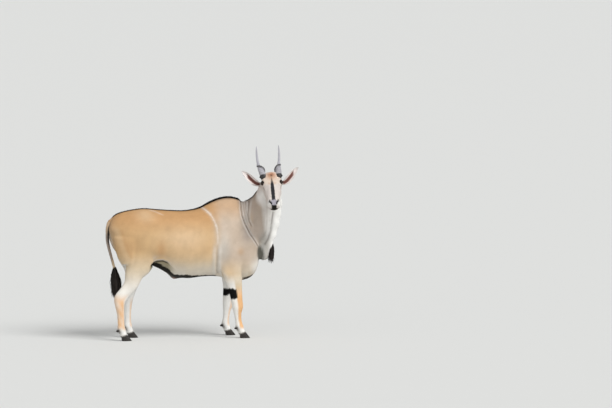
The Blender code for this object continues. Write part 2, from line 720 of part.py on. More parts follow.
def shape_head(mesh):
    """The fine forms of the head: brows, cheeks, lids, nostrils and the line of the mouth."""
    refine(mesh, in_head(to_head(read_points(mesh))))
    refine(mesh, in_face_details(to_head(read_points(mesh))))
    spots = to_head(read_points(mesh))
    normals = head_normals(mesh)
    for form in [*both_sides(HEAD_SWELLS), *HEAD_MIDDLE_SWELLS]:
        swell(spots, normals, *form)
    for side in (1, -1):
        crease(spots, normals, mirrored(TEAR_LINE, side), 0.009, 0.005)
        crease(spots, normals, mirrored(CHEEK_RIDGE, side), 0.012, -0.005)
    write_points(mesh, from_head(spots))
    normals = head_normals(mesh)
    for side in (1, -1):
        crease(spots, normals, laid_on(mirrored(NOSTRIL, side), spots), NOSTRIL_RIM[0], -NOSTRIL_RIM[1])
        crease(spots, normals, laid_on(mirrored(NOSTRIL, side), spots), *NOSTRIL_HOLE)
    write_points(mesh, from_head(spots))
    normals = head_normals(mesh)
    lips = np.minimum(*(distance_to_path(spots, laid_on(mirrored(MOUTH, side), spots)) for side in (1, -1)))
    lift = LIPS[1] * np.exp(-((lips / LIPS[0]) ** 2)) - MOUTH_SLIT[1] * np.exp(-((lips / MOUTH_SLIT[0]) ** 2))
    spots += normals * lift[:, None]
    for side in (1, -1):
        open_eye(spots, side)
    write_points(mesh, from_head(spots))


def head_normals(mesh):
    return read_normals(mesh) @ np.array(head_matrix())[:3, :3]


def thin_out(obj, chosen, faces, rest):
    """Leaves about the given number of faces among the chosen vertices; rest is the count of the others."""
    obj.vertex_groups.clear()
    group = obj.vertex_groups.new(name="chosen")
    group.add([int(k) for k in np.flatnonzero(chosen)], 1.0, "REPLACE")
    mesh = obj.data
    total = sum(len(face.vertices) - 2 for face in mesh.polygons)
    decimate = obj.modifiers.new("decimate", "DECIMATE")
    decimate.ratio = (faces + rest) / total
    decimate.vertex_group = "chosen"
    decimate.vertex_group_factor = 1000.0
    return evaluated(obj, obj.name)


def triangles_among(mesh, chosen):
    return sum(len(face.vertices) - 2 for face in mesh.polygons if all(chosen[k] for k in face.vertices))


def flat_box(name, centre, normal, half_long, half_wide, depth):
    """A box with its middle at centre and its depth along normal."""
    normal = Vector(normal).normalized()
    across = Vector((0, 1, 0)) if abs(normal.y) < 0.5 else Vector((1, 0, 0))
    across = (across - normal * across.dot(normal)).normalized()
    along = across.cross(normal)
    place = Matrix((along, across, normal)).transposed().to_4x4()
    work = bmesh.new()
    bmesh.ops.create_cube(work, size=2.0, matrix=Matrix.Diagonal((half_long, half_wide, depth / 2, 1.0)))
    mesh = bpy.data.meshes.new(name)
    work.to_mesh(mesh)
    work.free()
    mesh.transform(Matrix.Translation(centre) @ place)
    obj = bpy.data.objects.new(name, mesh)
    bpy.context.scene.collection.objects.link(obj)
    return obj


def cut_away(obj, cutter):
    """obj without the space of cutter, which is removed."""
    name = obj.name
    boolean = obj.modifiers.new("cut", "BOOLEAN")
    boolean.operation = "DIFFERENCE"
    boolean.object = cutter
    obj.name = name + "_uncut"
    made = evaluated(obj, name)
    bpy.data.objects.remove(cutter)
    return made


def parts_of(obj):
    """The separate pieces of obj, as lists of its vertices."""
    work = bmesh.new()
    work.from_mesh(obj.data)
    work.verts.index_update()
    seen = set()
    pieces = []
    for start in work.verts:
        if start.index in seen:
            continue
        found, waiting = [], [start]
        seen.add(start.index)
        while waiting:
            vertex = waiting.pop()
            found.append(vertex.index)
            for edge in vertex.link_edges:
                other = edge.other_vert(vertex)
                if other.index not in seen:
                    seen.add(other.index)
                    waiting.append(other)
        pieces.append(found)
    work.free()
    return pieces


def piece_object(name, obj, indices):
    work = bmesh.new()
    work.from_mesh(obj.data)
    work.verts.ensure_lookup_table()
    keep = set(indices)
    bmesh.ops.delete(work, geom=[v for v in work.verts if v.index not in keep], context="VERTS")
    bmesh.ops.triangulate(work, faces=work.faces)
    mesh = bpy.data.meshes.new(name)
    work.to_mesh(mesh)
    work.free()
    made = bpy.data.objects.new(name, mesh)
    bpy.context.scene.collection.objects.link(made)
    return made


def largest_piece(obj):
    name = obj.name
    pieces = parts_of(obj)
    best = max(pieces, key=len)
    obj.name = name + "_whole"
    made = piece_object(name, obj, best)
    bpy.data.objects.remove(obj)
    return made


def parted(body):
    """The body as its named parts."""
    for centre, normal, (half_long, half_wide) in CUTS.values():
        body = cut_away(body, flat_box("cut", centre, normal, half_long, half_wide, GAP))
    nodes = {}
    points = read_points(body.data)
    for indices in parts_of(body):
        if len(indices) < 60:
            continue
        low, high = points[indices].min(axis=0), points[indices].max(axis=0)
        name = min(MIDDLES, key=lambda key: np.linalg.norm((low + high) / 2 - MIDDLES[key]))
        if name in nodes:
            raise RuntimeError("two parts of the body fit " + name)
        nodes[name] = piece_object(name, body, indices)
    bpy.data.objects.remove(body)
    return nodes


def round_path(name, stations, ring, rows, grow=0.0):
    """A tapering round rod; grow makes it larger all round."""
    table = eased_rows([(*place, radius) for place, radius in stations], rows)
    heading = np.gradient(table[:, :3], axis=0)
    table[0, :3] -= unit(heading[0]) * grow
    table[-1, :3] += unit(heading[-1]) * grow
    rings = []
    for row, direction in zip(table, heading):
        along = unit(direction)
        side = unit(np.cross((0, 1, 0), along)) if abs(along[1]) < 0.9 else unit(np.cross((1, 0, 0), along))
        radius = max(row[3], 0.001) + grow
        rings.append(section(row[:3], side, np.cross(along, side), radius, radius, radius, 2.0, ring))
    return loft(name, rings)


def horn(name, side, grow=0.0):
    """A horn with a keel that winds around its lower half."""
    table = eased_rows([(*place, radius, keel) for place, radius, keel in HORN], HORN_ROWS)
    table[:, 1] *= side
    table[:, 1] += HORN_LEAN * np.sin(math.pi * np.linspace(0, 1, HORN_ROWS)) ** 2
    heading = np.gradient(table[:, :3], axis=0)
    table[0, :3] -= unit(heading[0]) * grow
    around = np.linspace(0, 2 * math.pi, HORN_RING, endpoint=False)
    keel = np.exp(-(((around - 2 * math.pi * (around > math.pi)) / 0.60) ** 2))
    rings = []
    for k, (row, direction) in enumerate(zip(table, heading)):
        along = unit(direction)
        across = unit(np.cross((0, 0, 1), along))
        lift = np.cross(along, across)
        share = k / (HORN_ROWS - 1)
        angle = around + side * 2 * math.pi * HORN_TURNS * min(share / HORN_KEELED, 1.0) + math.pi / 2
        radius = max(row[3], 0.001) + max(row[4], 0.0) * keel + grow
        wide, high = radius * np.cos(angle), radius * np.sin(angle)
        rings.append(row[:3] + np.outer(wide, across) + np.outer(high, lift))
    return loft(name, [from_head(ring) for ring in rings], side)


def ear(name, side):
    """A cupped leaf of skin, almost a tube at its root, which ends flat above its foot."""
    table = eased_rows([(*place, half, cup, thick) for place, half, cup, thick in EAR], EAR_ROWS)
    table[:, 1] *= side
    facing = unit((EAR_FACING[0], EAR_FACING[1] * side, EAR_FACING[2]))
    heading = np.gradient(table[:, :3], axis=0)
    rings = []
    for row, direction in zip(table, heading):
        along = unit(direction)
        front = unit(facing - along * (facing @ along))
        across = np.cross(along, front)
        half, cup, thick = row[3:]
        outer = half / math.sin(min(cup, math.pi / 2))
        inner = max(outer - thick, 0.0006)
        angle = np.linspace(-cup, cup, EAR_ARC)
        shape = np.outer(np.sin(angle), across) - np.outer(np.cos(angle), front)
        rings.append(from_head(np.vstack([row[:3] + outer * shape, row[:3] + inner * shape[::-1]])))
    return largest_piece(cut_away(loft(name, rings), ear_foot(side, -1)))


def ear_foot(side, way):
    """A block above the flat foot of the ear, or with way -1 the block below it and its gap."""
    normal = np.array((EAR_FOOT_NORMAL[0], EAR_FOOT_NORMAL[1] * side, EAR_FOOT_NORMAL[2]))
    normal /= np.linalg.norm(normal)
    foot = np.array((EAR_FOOT[0], EAR_FOOT[1] * side, EAR_FOOT[2]))
    depth = 0.030 if way > 0 else 0.080
    centre = foot + normal * (way * depth / 2 + (GAP if way < 0 else 0.0))
    half = 0.025 if way > 0 else 0.050
    turn = np.array(head_matrix())[:3, :3]
    return flat_box("cut", from_head(centre[None])[0], turn @ normal, half, half, depth)


def coronet(foot):
    """A point on the plane where the hoof meets the hair, and the plane's normal."""
    x, y = FEET[foot]
    return (x - 0.010, y, CORONET_HEIGHT), (-CORONET_RISE, 0.0, 1.0)


def hoof(name, foot, side):
    """One claw of a foot: a flat sole, a straight inner face, a sloping toe."""
    x, y = FEET[foot]
    levels = [
        (0.000, 0.014, 0.050, 0.0190),
        (0.030, 0.002, 0.042, 0.0196),
        (0.058, -0.010, 0.032, 0.0190),
        (0.090, -0.022, 0.026, 0.0180),
    ]
    rings = []
    for z, forward, half_long, half_wide in levels:
        angle = np.linspace(0, 2 * math.pi, HOOF_RING, endpoint=False)
        along = np.sign(np.cos(angle)) * np.abs(np.cos(angle)) ** 0.85 * half_long
        wide = np.sin(angle) * half_wide
        wide = np.maximum(wide, -half_wide * 0.86)
        taper = 1 - 0.30 * np.clip(along / half_long, 0, 1) ** 2
        middle = CLEFT / 2 + half_wide * 0.86
        across = middle + wide * taper
        ring = np.stack([x + forward + along, y + side * across, np.full(HOOF_RING, z)], axis=1)
        rings.append(ring)
    claw = loft(name, rings)
    point, normal = coronet(foot)
    lift = Vector(normal).normalized() * (0.05 - GAP)
    return cut_away(claw, flat_box("cut", Vector(point) + lift, normal, 0.12, 0.12, 0.10))


def with_dewclaws(leg, foot):
    """The leg with its two small claws behind the pastern."""
    x, y = FEET[foot]
    for side in (1, -1):
        root = np.array((x + DEWCLAW[0] + 0.020, y + side * (DEWCLAW[1] - 0.003), DEWCLAW[2] + 0.006))
        tip = root + np.array((-0.80, side * 0.22, -0.60)) * DEWCLAW_LENGTH
        stations = [
            (root, DEWCLAW_RADIUS * 0.95),
            (root * 0.5 + tip * 0.5, DEWCLAW_RADIUS),
            (root * 0.15 + tip * 0.85, DEWCLAW_RADIUS * 0.62),
            (tip, 0.002),
        ]
        leg = united(leg, round_path("dewclaw", stations, 7, 5))
    return leg


def united(obj, other, crossing=False):
    """One body from both; crossing is for an other that crosses itself."""
    name = obj.name
    boolean = obj.modifiers.new("unite", "BOOLEAN")
    boolean.operation = "UNION"
    boolean.object = other
    boolean.use_self = crossing
    obj.name = name + "_alone"
    made = evaluated(obj, name)
    bpy.data.objects.remove(other)
    return made


def swollen(obj, depth):
    """A copy of obj with its surface moved out by depth."""
    mesh = obj.data.copy()
    write_points(mesh, read_points(mesh) + read_normals(mesh) * depth)
    made = bpy.data.objects.new("swollen", mesh)
    bpy.context.scene.collection.objects.link(made)
    return made


def lock(spine, width, thick, facing):
    """A flat lock of hair along spine, tapering to its tip, its flat side towards facing."""
    spine = np.asarray(spine, float)
    heading = np.gradient(spine, axis=0)
    rings = []
    shares = np.linspace(0, 1, len(spine))
    for spot, direction, share in zip(spine, heading, shares):
        along = unit(direction)
        out = unit(facing - along * (facing @ along))
        across = np.cross(along, out)
        size = (0.70 + 0.30 * math.sin(math.pi * min(share * 1.6, 1.0))) * (1 - share**3) + 0.06
        half_wide, half_thick = width / 2 * size, thick / 2 * max(size, 0.25)
        sides = (across * half_wide, out * half_thick, -across * half_wide, -out * half_thick)
        rings.append(np.array([spot + way for way in sides]))
    return loft("lock", rings)


def tuft(name, core, locks, rows, seed):
    """A dense core with locks that root in it and lie over one another down to their tips.

    Each band of locks has: place along the core of the roots, count, length, width, spread.
    """
    chance = np.random.default_rng(seed)
    path = np.array([place for place, radius in core])
    reach = np.array([radius for place, radius in core])
    strands = []
    for share, count, length, width, spread in locks:
        at = share * (len(path) - 1)
        low = min(int(at), len(path) - 2)
        middle = path[low] + (path[low + 1] - path[low]) * (at - low)
        radius = reach[low] + (reach[low + 1] - reach[low]) * (at - low)
        along = unit(path[-1] - path[0])
        first = unit(np.cross(along, (0, 1, 0.05)))
        second = np.cross(along, first)
        for k in range(count):
            angle = 2 * math.pi * (k + chance.uniform(-0.25, 0.25)) / count + share * 2.4
            out = first * math.cos(angle) + second * math.sin(angle)
            long = length * chance.uniform(0.82, 1.12)
            sway = second * chance.uniform(-0.10, 0.10) * long + first * chance.uniform(-0.06, 0.06) * long
            spine = []
            for step in np.linspace(0, 1, rows):
                flare = radius * (0.40 + spread * math.sin(math.pi * step * 0.86))
                spine.append(middle + along * (long * step - 0.01) + out * flare + sway * step**2)
            strands.append(lock(spine, width * chance.uniform(0.85, 1.15), width * 0.36, out))
    stub = round_path(name, core, 10, 7)
    return united(stub, joined("locks", strands), crossing=True)


def trimmed_foot(leg, foot):
    """The leg without what lies below the coronet."""
    point, normal = coronet(foot)
    drop = Vector(normal).normalized() * 0.05
    return cut_away(leg, flat_box("cut", Vector(point) - drop, normal, 0.12, 0.12, 0.10))


def finish(obj, colour):
    """Own material, and round surfaces shaded smooth."""
    red, green, blue, roughness = colour
    material = bpy.data.materials.new(obj.name)
    material.use_nodes = True
    shader = material.node_tree.nodes["Principled BSDF"]
    shader.inputs["Base Color"].default_value = (red, green, blue, 1.0)
    shader.inputs["Roughness"].default_value = roughness
    shader.inputs["Metallic"].default_value = 0.0
    material.diffuse_color = (red, green, blue, 1.0)
    obj.data.materials.clear()
    obj.data.materials.append(material)
    obj.data.shade_smooth()
    obj.data.set_sharp_from_angle(angle=math.radians(50))


def centre_on_floor(objects):
    """Moves everything so that the origin lies under the middle of the model's box, on the floor."""
    points = np.vstack([read_points(obj.data) for obj in objects])
    low, high = points.min(axis=0), points.max(axis=0)
    shift = Matrix.Translation((-(low[0] + high[0]) / 2, -(low[1] + high[1]) / 2, -low[2]))
    for obj in objects:
        obj.data.transform(shift)


def main():
    for obj in list(bpy.data.objects):
        bpy.data.objects.remove(obj)
    body = clay()
    shape_head(body.data)
    chosen = in_head(to_head(read_points(body.data)))
    rest = sum(len(face.vertices) - 2 for face in body.data.polygons) - triangles_among(body.data, ~chosen)
    body = thin_out(body, ~chosen, BODY_FACES, rest)
    chosen = in_head(to_head(read_points(body.data)))
    rest = triangles_among(body.data, ~chosen)
    body = thin_out(body, chosen, HEAD_FACES, rest)
    nodes = parted(body)
    colours = {"neck": GREY_COAT, "head": FACE_COAT, "tail": GREY_COAT}
    for foot in FEET:
        nodes[foot] = largest_piece(with_dewclaws(trimmed_foot(nodes[foot], foot), foot))
        for label, side in (("left", 1), ("right", -1)):
            name = foot.replace("leg", "hoof") + "_" + label
            nodes[name] = largest_piece(hoof(name, foot, side))
            colours[name] = HOOF_COLOUR
        colours[foot] = PALE_COAT
    for label, side in (("left", 1), ("right", -1)):
        centre = from_head(np.array([(EYE[0], EYE[1] * side, EYE[2])]))[0]
        eye = ball("eye_" + label, centre, EYE_RADIUS, 14, 9)
        socket = ball("socket", centre, EYE_RADIUS + 1.6 * GAP, 14, 9)
        nodes["head"] = cut_away(nodes["head"], socket)
        nodes["eye_" + label] = eye
        nodes["head"] = cut_away(nodes["head"], horn("socket", side, 1.8 * GAP))
        nodes["horn_" + label] = horn("horn_" + label, side)
        nodes["head"] = cut_away(nodes["head"], ear_foot(side, 1))
        nodes["ear_" + label] = ear("ear_" + label, side)
        colours["eye_" + label], colours["horn_" + label] = EYE_COLOUR, HORN_COLOUR
        colours["ear_" + label] = FACE_COAT
    nodes["torso"] = cut_away(nodes["torso"], round_path("socket", TAIL, 10, 15, 1.6 * GAP))
    hollow = round_path("socket", TAIL_TUFT_CORE, 10, 7, 1.6 * GAP)
    nodes["tail"] = cut_away(round_path("tail", TAIL, 10, 15), hollow)
    nodes["tail_tuft"] = tuft("tail_tuft", TAIL_TUFT_CORE, TAIL_TUFT_LOCKS, LOCK_ROWS, 7)
    nodes["dewlap_tuft"] = tuft("dewlap_tuft", DEWLAP_TUFT_CORE, DEWLAP_TUFT_LOCKS, LOCK_ROWS, 11)
    nodes["dewlap_tuft"] = cut_away(nodes["dewlap_tuft"], swollen(nodes["neck"], 2 * GAP))
    colours["tail_tuft"] = colours["dewlap_tuft"] = TUFT_COLOUR
    for name in list(nodes):
        nodes[name] = largest_piece(nodes[name])
    for name, obj in nodes.items():
        finish(obj, colours.get(name, COAT))
    centre_on_floor(list(nodes.values()))


main()
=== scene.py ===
"""The common eland bull dressed: skin, coat, horns, eyes, hooves, camera and light.

Metres, +Z up. The forms are made in the table's axes, where the floor is z = 0 and the trunk lies
along x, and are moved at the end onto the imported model.
"""

import json
import math

import bmesh
import bpy
import numpy as np
from mathutils import Matrix, Vector
from mathutils.bvhtree import BVHTree

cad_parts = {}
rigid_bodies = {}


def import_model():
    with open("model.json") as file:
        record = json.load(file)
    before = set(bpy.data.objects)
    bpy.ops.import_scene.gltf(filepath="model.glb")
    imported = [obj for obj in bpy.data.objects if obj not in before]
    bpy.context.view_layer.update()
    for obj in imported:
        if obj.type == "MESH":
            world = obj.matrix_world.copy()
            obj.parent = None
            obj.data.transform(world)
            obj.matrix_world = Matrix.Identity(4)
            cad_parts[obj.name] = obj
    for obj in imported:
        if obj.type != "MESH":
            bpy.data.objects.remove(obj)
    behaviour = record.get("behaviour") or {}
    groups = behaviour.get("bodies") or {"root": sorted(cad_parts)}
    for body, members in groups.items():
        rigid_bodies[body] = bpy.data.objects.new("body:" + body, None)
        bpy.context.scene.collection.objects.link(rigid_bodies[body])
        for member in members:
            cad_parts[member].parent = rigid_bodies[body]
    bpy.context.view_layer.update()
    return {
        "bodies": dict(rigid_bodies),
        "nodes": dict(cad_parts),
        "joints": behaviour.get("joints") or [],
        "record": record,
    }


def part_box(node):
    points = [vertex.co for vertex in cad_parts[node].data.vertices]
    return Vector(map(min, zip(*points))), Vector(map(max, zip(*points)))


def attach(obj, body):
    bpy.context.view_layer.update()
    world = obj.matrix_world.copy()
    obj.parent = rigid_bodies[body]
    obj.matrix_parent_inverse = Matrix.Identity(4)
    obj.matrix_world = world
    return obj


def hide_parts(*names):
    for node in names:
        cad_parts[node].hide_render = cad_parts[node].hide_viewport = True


GAP = 0.0003
CLAY_VOXEL = 0.011
RING = 60

# The trunk: x, top of the back, underside, half width, height of the widest level, squareness.
TRUNK = [
    (-0.800, 1.200, 1.060, 0.050, 1.130, 2.0),
    (-0.775, 1.275, 0.960, 0.130, 1.120, 2.0),
    (-0.700, 1.335, 0.880, 0.180, 1.100, 2.1),
    (-0.570, 1.368, 0.850, 0.212, 1.080, 2.2),
    (-0.420, 1.384, 0.815, 0.235, 1.060, 2.2),
    (-0.260, 1.370, 0.748, 0.262, 1.030, 2.2),
    (-0.100, 1.357, 0.664, 0.290, 0.990, 2.2),
    (0.050, 1.355, 0.636, 0.300, 0.965, 2.2),
    (0.190, 1.382, 0.648, 0.292, 0.960, 2.1),
    (0.330, 1.452, 0.652, 0.262, 0.950, 1.9),
    (0.450, 1.490, 0.635, 0.228, 0.930, 1.75),
    (0.560, 1.488, 0.612, 0.205, 0.910, 1.75),
    (0.660, 1.440, 0.602, 0.180, 0.900, 1.8),
    (0.750, 1.330, 0.634, 0.148, 0.890, 1.9),
    (0.812, 1.150, 0.708, 0.100, 0.890, 2.0),
    (0.838, 1.000, 0.800, 0.045, 0.890, 2.0),
]

# The neck, from the shoulders to the poll: the crest point, the throat point, half width.
NECK = [
    ((0.500, 0.000, 1.440), (0.600, 0.000, 0.800), 0.160),
    ((0.680, 0.000, 1.445), (0.780, 0.000, 0.930), 0.155),
    ((0.755, -0.030, 1.485), (0.880, -0.030, 1.030), 0.145),
    ((0.795, -0.070, 1.545), (0.955, -0.070, 1.170), 0.132),
    ((0.822, -0.120, 1.625), (0.995, -0.100, 1.320), 0.122),
    ((0.860, -0.180, 1.700), (1.020, -0.130, 1.450), 0.112),
    ((0.905, -0.240, 1.735), (1.015, -0.170, 1.560), 0.095),
]

# The dewlap hangs from the throat line: its lower edge, from the brisket to the throat.
DEWLAP_EDGE = [
    (0.800, 0.000, 0.850),
    (0.855, -0.020, 0.815),
    (0.915, -0.045, 0.815),
    (0.958, -0.060, 0.890),
    (0.985, -0.075, 1.000),
    (1.030, -0.090, 1.130),
    (1.062, -0.105, 1.300),
    (1.070, -0.130, 1.450),
    (1.050, -0.160, 1.555),
]
DEWLAP_EDGE_THICK = 0.024
DEWLAP_ROOT_THICK = 0.080

# Legs, from the top down: x, y, z, front-to-back size, side-to-side size. Right is the near side.
FORELEG_RIGHT = [
    (0.455, -0.105, 1.050, 0.220, 0.100),
    (0.475, -0.135, 0.930, 0.250, 0.125),
    (0.495, -0.148, 0.820, 0.245, 0.130),
    (0.512, -0.152, 0.700, 0.212, 0.125),
    (0.530, -0.155, 0.610, 0.184, 0.114),
    (0.548, -0.158, 0.510, 0.150, 0.096),
    (0.558, -0.160, 0.430, 0.132, 0.088),
    (0.566, -0.162, 0.370, 0.124, 0.092),
    (0.570, -0.163, 0.320, 0.116, 0.090),
    (0.570, -0.164, 0.270, 0.086, 0.070),
    (0.576, -0.165, 0.200, 0.072, 0.056),
    (0.584, -0.166, 0.150, 0.076, 0.062),
    (0.590, -0.167, 0.115, 0.088, 0.076),
    (0.610, -0.168, 0.070, 0.074, 0.076),
    (0.624, -0.168, 0.038, 0.080, 0.082),
    (0.634, -0.168, 0.010, 0.080, 0.082),
]
FORELEG_LEFT = [
    (0.455, 0.105, 1.050, 0.220, 0.100),
    (0.490, 0.135, 0.930, 0.250, 0.125),
    (0.520, 0.148, 0.820, 0.245, 0.130),
    (0.545, 0.152, 0.700, 0.206, 0.125),
    (0.556, 0.154, 0.610, 0.172, 0.112),
    (0.552, 0.155, 0.510, 0.140, 0.096),
    (0.543, 0.156, 0.430, 0.124, 0.088),
    (0.538, 0.157, 0.370, 0.116, 0.090),
    (0.534, 0.158, 0.320, 0.108, 0.088),
    (0.525, 0.158, 0.270, 0.084, 0.070),
    (0.518, 0.158, 0.200, 0.072, 0.056),
    (0.512, 0.158, 0.150, 0.076, 0.062),
    (0.510, 0.158, 0.115, 0.088, 0.076),
    (0.527, 0.158, 0.070, 0.074, 0.076),
    (0.540, 0.158, 0.038, 0.080, 0.082),
    (0.550, 0.158, 0.010, 0.080, 0.082),
]
HINDLEG_RIGHT = [
    (-0.570, -0.120, 1.080, 0.430, 0.170),
    (-0.570, -0.132, 0.980, 0.425, 0.170),
    (-0.535, -0.140, 0.900, 0.396, 0.165),
    (-0.512, -0.145, 0.800, 0.335, 0.150),
    (-0.547, -0.150, 0.700, 0.208, 0.125),
    (-0.580, -0.152, 0.600, 0.158, 0.100),
    (-0.642, -0.154, 0.520, 0.134, 0.084),
    (-0.698, -0.156, 0.450, 0.132, 0.080),
    (-0.704, -0.157, 0.390, 0.110, 0.077),
    (-0.698, -0.158, 0.320, 0.086, 0.066),
    (-0.692, -0.158, 0.240, 0.075, 0.058),
    (-0.689, -0.158, 0.170, 0.075, 0.060),
    (-0.686, -0.158, 0.120, 0.088, 0.074),
    (-0.668, -0.158, 0.072, 0.074, 0.074),
    (-0.655, -0.158, 0.038, 0.080, 0.080),
    (-0.645, -0.158, 0.010, 0.080, 0.080),
]
HINDLEG_LEFT = [
    (-0.540, 0.120, 1.080, 0.430, 0.170),
    (-0.520, 0.132, 0.980, 0.425, 0.170),
    (-0.500, 0.140, 0.900, 0.385, 0.165),
    (-0.482, 0.145, 0.800, 0.315, 0.150),
    (-0.484, 0.148, 0.700, 0.215, 0.125),
    (-0.503, 0.150, 0.600, 0.160, 0.100),
    (-0.527, 0.151, 0.520, 0.132, 0.084),
    (-0.552, 0.152, 0.450, 0.130, 0.080),
    (-0.557, 0.152, 0.390, 0.110, 0.077),
    (-0.557, 0.152, 0.320, 0.084, 0.066),
    (-0.557, 0.152, 0.240, 0.074, 0.058),
    (-0.556, 0.152, 0.170, 0.075, 0.060),
    (-0.554, 0.152, 0.120, 0.088, 0.074),
    (-0.537, 0.152, 0.072, 0.074, 0.074),
    (-0.524, 0.152, 0.038, 0.080, 0.080),
    (-0.514, 0.152, 0.010, 0.080, 0.080),
]
LEGS = {
    "foreleg_right": FORELEG_RIGHT,
    "foreleg_left": FORELEG_LEFT,
    "hindleg_right": HINDLEG_RIGHT,
    "hindleg_left": HINDLEG_LEFT,
}

# Where the tops of the legs melt into the trunk.
LEG_TOPS = [(0.47, -0.22, 0.86), (0.48, 0.22, 0.86), (-0.50, -0.20, 0.93), (-0.46, 0.20, 0.93)]
LEG_TOP_REACH = 0.15
LEG_TOP_ROUNDS = 70

# Hooves: the middle of each foot where it meets the floor.
FEET = {
    "foreleg_right": (0.636, -0.168),
    "foreleg_left": (0.552, 0.158),
    "hindleg_right": (-0.643, -0.158),
    "hindleg_left": (-0.512, 0.152),
}
CORONET_HEIGHT = 0.052
CORONET_RISE = 0.26
CLEFT = 0.002
DEWCLAW = (-0.094, 0.021, 0.108)
DEWCLAW_LENGTH = 0.028
DEWCLAW_RADIUS = 0.0100

# Muscle, bone and hollow forms of one side, as swellings of the skin: centre, reach along x, y, z,
# turn about Y in degrees, height. The other side has them with y reversed.
FORE_SWELLS = [
    ((0.500, 0.190, 1.220), (0.090, 0.120, 0.200), 20.0, 0.024),
    ((0.410, 0.220, 1.000), (0.110, 0.100, 0.120), -30.0, 0.018),
    ((0.690, 0.150, 0.990), (0.080, 0.100, 0.100), 0.0, 0.022),
    ((0.425, 0.190, 0.700), (0.040, 0.060, 0.060), 0.0, 0.014),
    ((0.275, 0.260, 1.020), (0.040, 0.120, 0.240), 8.0, -0.014),
    ((0.590, 0.190, 1.080), (0.030, 0.100, 0.120), 25.0, -0.010),
    ((0.330, 0.240, 1.290), (0.090, 0.100, 0.080), 30.0, 0.010),
]
HIND_SWELLS = [
    ((-0.550, 0.180, 1.200), (0.150, 0.120, 0.130), 0.0, 0.016),
    ((-0.640, 0.190, 1.000), (0.100, 0.100, 0.180), 5.0, 0.016),
    ((-0.450, 0.210, 0.980), (0.090, 0.100, 0.160), -15.0, 0.014),
    ((-0.375, 0.200, 1.280), (0.075, 0.070, 0.055), 0.0, 0.014),
    ((-0.250, 0.260, 1.170), (0.090, 0.120, 0.100), 0.0, -0.018),
    ((-0.390, 0.210, 0.850), (0.060, 0.080, 0.080), 0.0, 0.012),
    ((-0.560, 0.220, 0.900), (0.030, 0.100, 0.150), 8.0, -0.007),
    ((-0.770, 0.090, 1.180), (0.050, 0.045, 0.050), 0.0, 0.012),
]
MIDDLE_SWELLS = [
    ((-0.800, 0.000, 1.120), (0.070, 0.035, 0.160), 0.0, -0.035),
    ((0.150, 0.000, 1.400), (0.500, 0.030, 0.100), 0.0, 0.006),
    ((-0.090, 0.000, 0.655), (0.060, 0.035, 0.050), 0.0, 0.028),
]

# The head, in its own axes: x from the crown to the nose along the face, y left, z out of the
# forehead. Stations: x, top, underside, half width, level of the widest point, squareness.
HEAD = [
    (-0.068, -0.060, -0.105, 0.035, -0.082, 2.0),
    (-0.050, -0.022, -0.155, 0.080, -0.085, 2.1),
    (-0.015, -0.004, -0.196, 0.098, -0.080, 2.2),
    (0.030, 0.000, -0.214, 0.104, -0.070, 2.3),
    (0.080, 0.001, -0.218, 0.104, -0.062, 2.3),
    (0.130, 0.000, -0.208, 0.095, -0.070, 2.3),
    (0.185, -0.003, -0.186, 0.086, -0.078, 2.2),
    (0.235, -0.006, -0.162, 0.077, -0.078, 2.2),
    (0.285, -0.008, -0.146, 0.071, -0.078, 2.3),
    (0.325, -0.010, -0.140, 0.068, -0.070, 2.4),
    (0.352, -0.014, -0.131, 0.062, -0.066, 2.4),
    (0.371, -0.024, -0.115, 0.050, -0.064, 2.3),
    (0.381, -0.044, -0.095, 0.030, -0.066, 2.2),
]
CROWN = (0.910, -0.280, 1.742)
HEAD_YAW = -100.0
HEAD_PITCH = 56.0
HEAD_ROLL = 3.6

# Fine forms of the left half of the head, as swellings: centre, reach, turn about Y, height.
HEAD_SWELLS = [
    ((0.070, 0.100, -0.040), (0.036, 0.040, 0.036), 0.0, 0.016),
    ((0.048, 0.085, -0.012), (0.030, 0.035, 0.025), 0.0, 0.008),
    ((0.010, 0.100, -0.060), (0.035, 0.030, 0.035), 0.0, -0.008),
    ((0.050, 0.095, -0.150), (0.055, 0.050, 0.045), 25.0, 0.010),
    ((0.155, 0.060, -0.020), (0.045, 0.030, 0.025), 0.0, -0.006),
    ((0.190, 0.085, -0.125), (0.060, 0.040, 0.025), 0.0, -0.007),
    ((0.110, 0.030, -0.215), (0.070, 0.030, 0.030), 0.0, -0.004),
    ((0.300, 0.055, -0.030), (0.030, 0.025, 0.030), 0.0, 0.006),
    ((0.340, 0.045, -0.070), (0.030, 0.030, 0.020), 0.0, 0.004),
    ((0.046, 0.104, -0.110), (0.028, 0.030, 0.028), 0.0, 0.016),
]
HEAD_MIDDLE_SWELLS = [
    ((0.060, 0.000, 0.000), (0.040, 0.030, 0.030), 0.0, -0.004),
    ((-0.020, 0.000, 0.000), (0.035, 0.060, 0.035), 0.0, -0.005),
    ((0.225, 0.000, -0.005), (0.060, 0.028, 0.020), 0.0, 0.005),
    ((0.350, 0.000, -0.128), (0.025, 0.030, 0.025), 0.0, 0.005),
]
EYE = (0.074, 0.091, -0.040)
EYE_RADIUS = 0.0210
EYE_OUT = (0.22, 0.84, 0.50)
EYE_LONG = (0.93, -0.26, 0.20)
LID = 0.0040
NOSTRIL = [
    (0.302, 0.042, -0.030),
    (0.317, 0.041, -0.020),
    (0.332, 0.034, -0.018),
    (0.344, 0.026, -0.026),
]
MOUTH = [
    (0.262, 0.084, -0.103),
    (0.300, 0.074, -0.093),
    (0.332, 0.066, -0.081),
    (0.358, 0.050, -0.070),
    (0.376, 0.024, -0.063),
    (0.382, 0.000, -0.061),
]
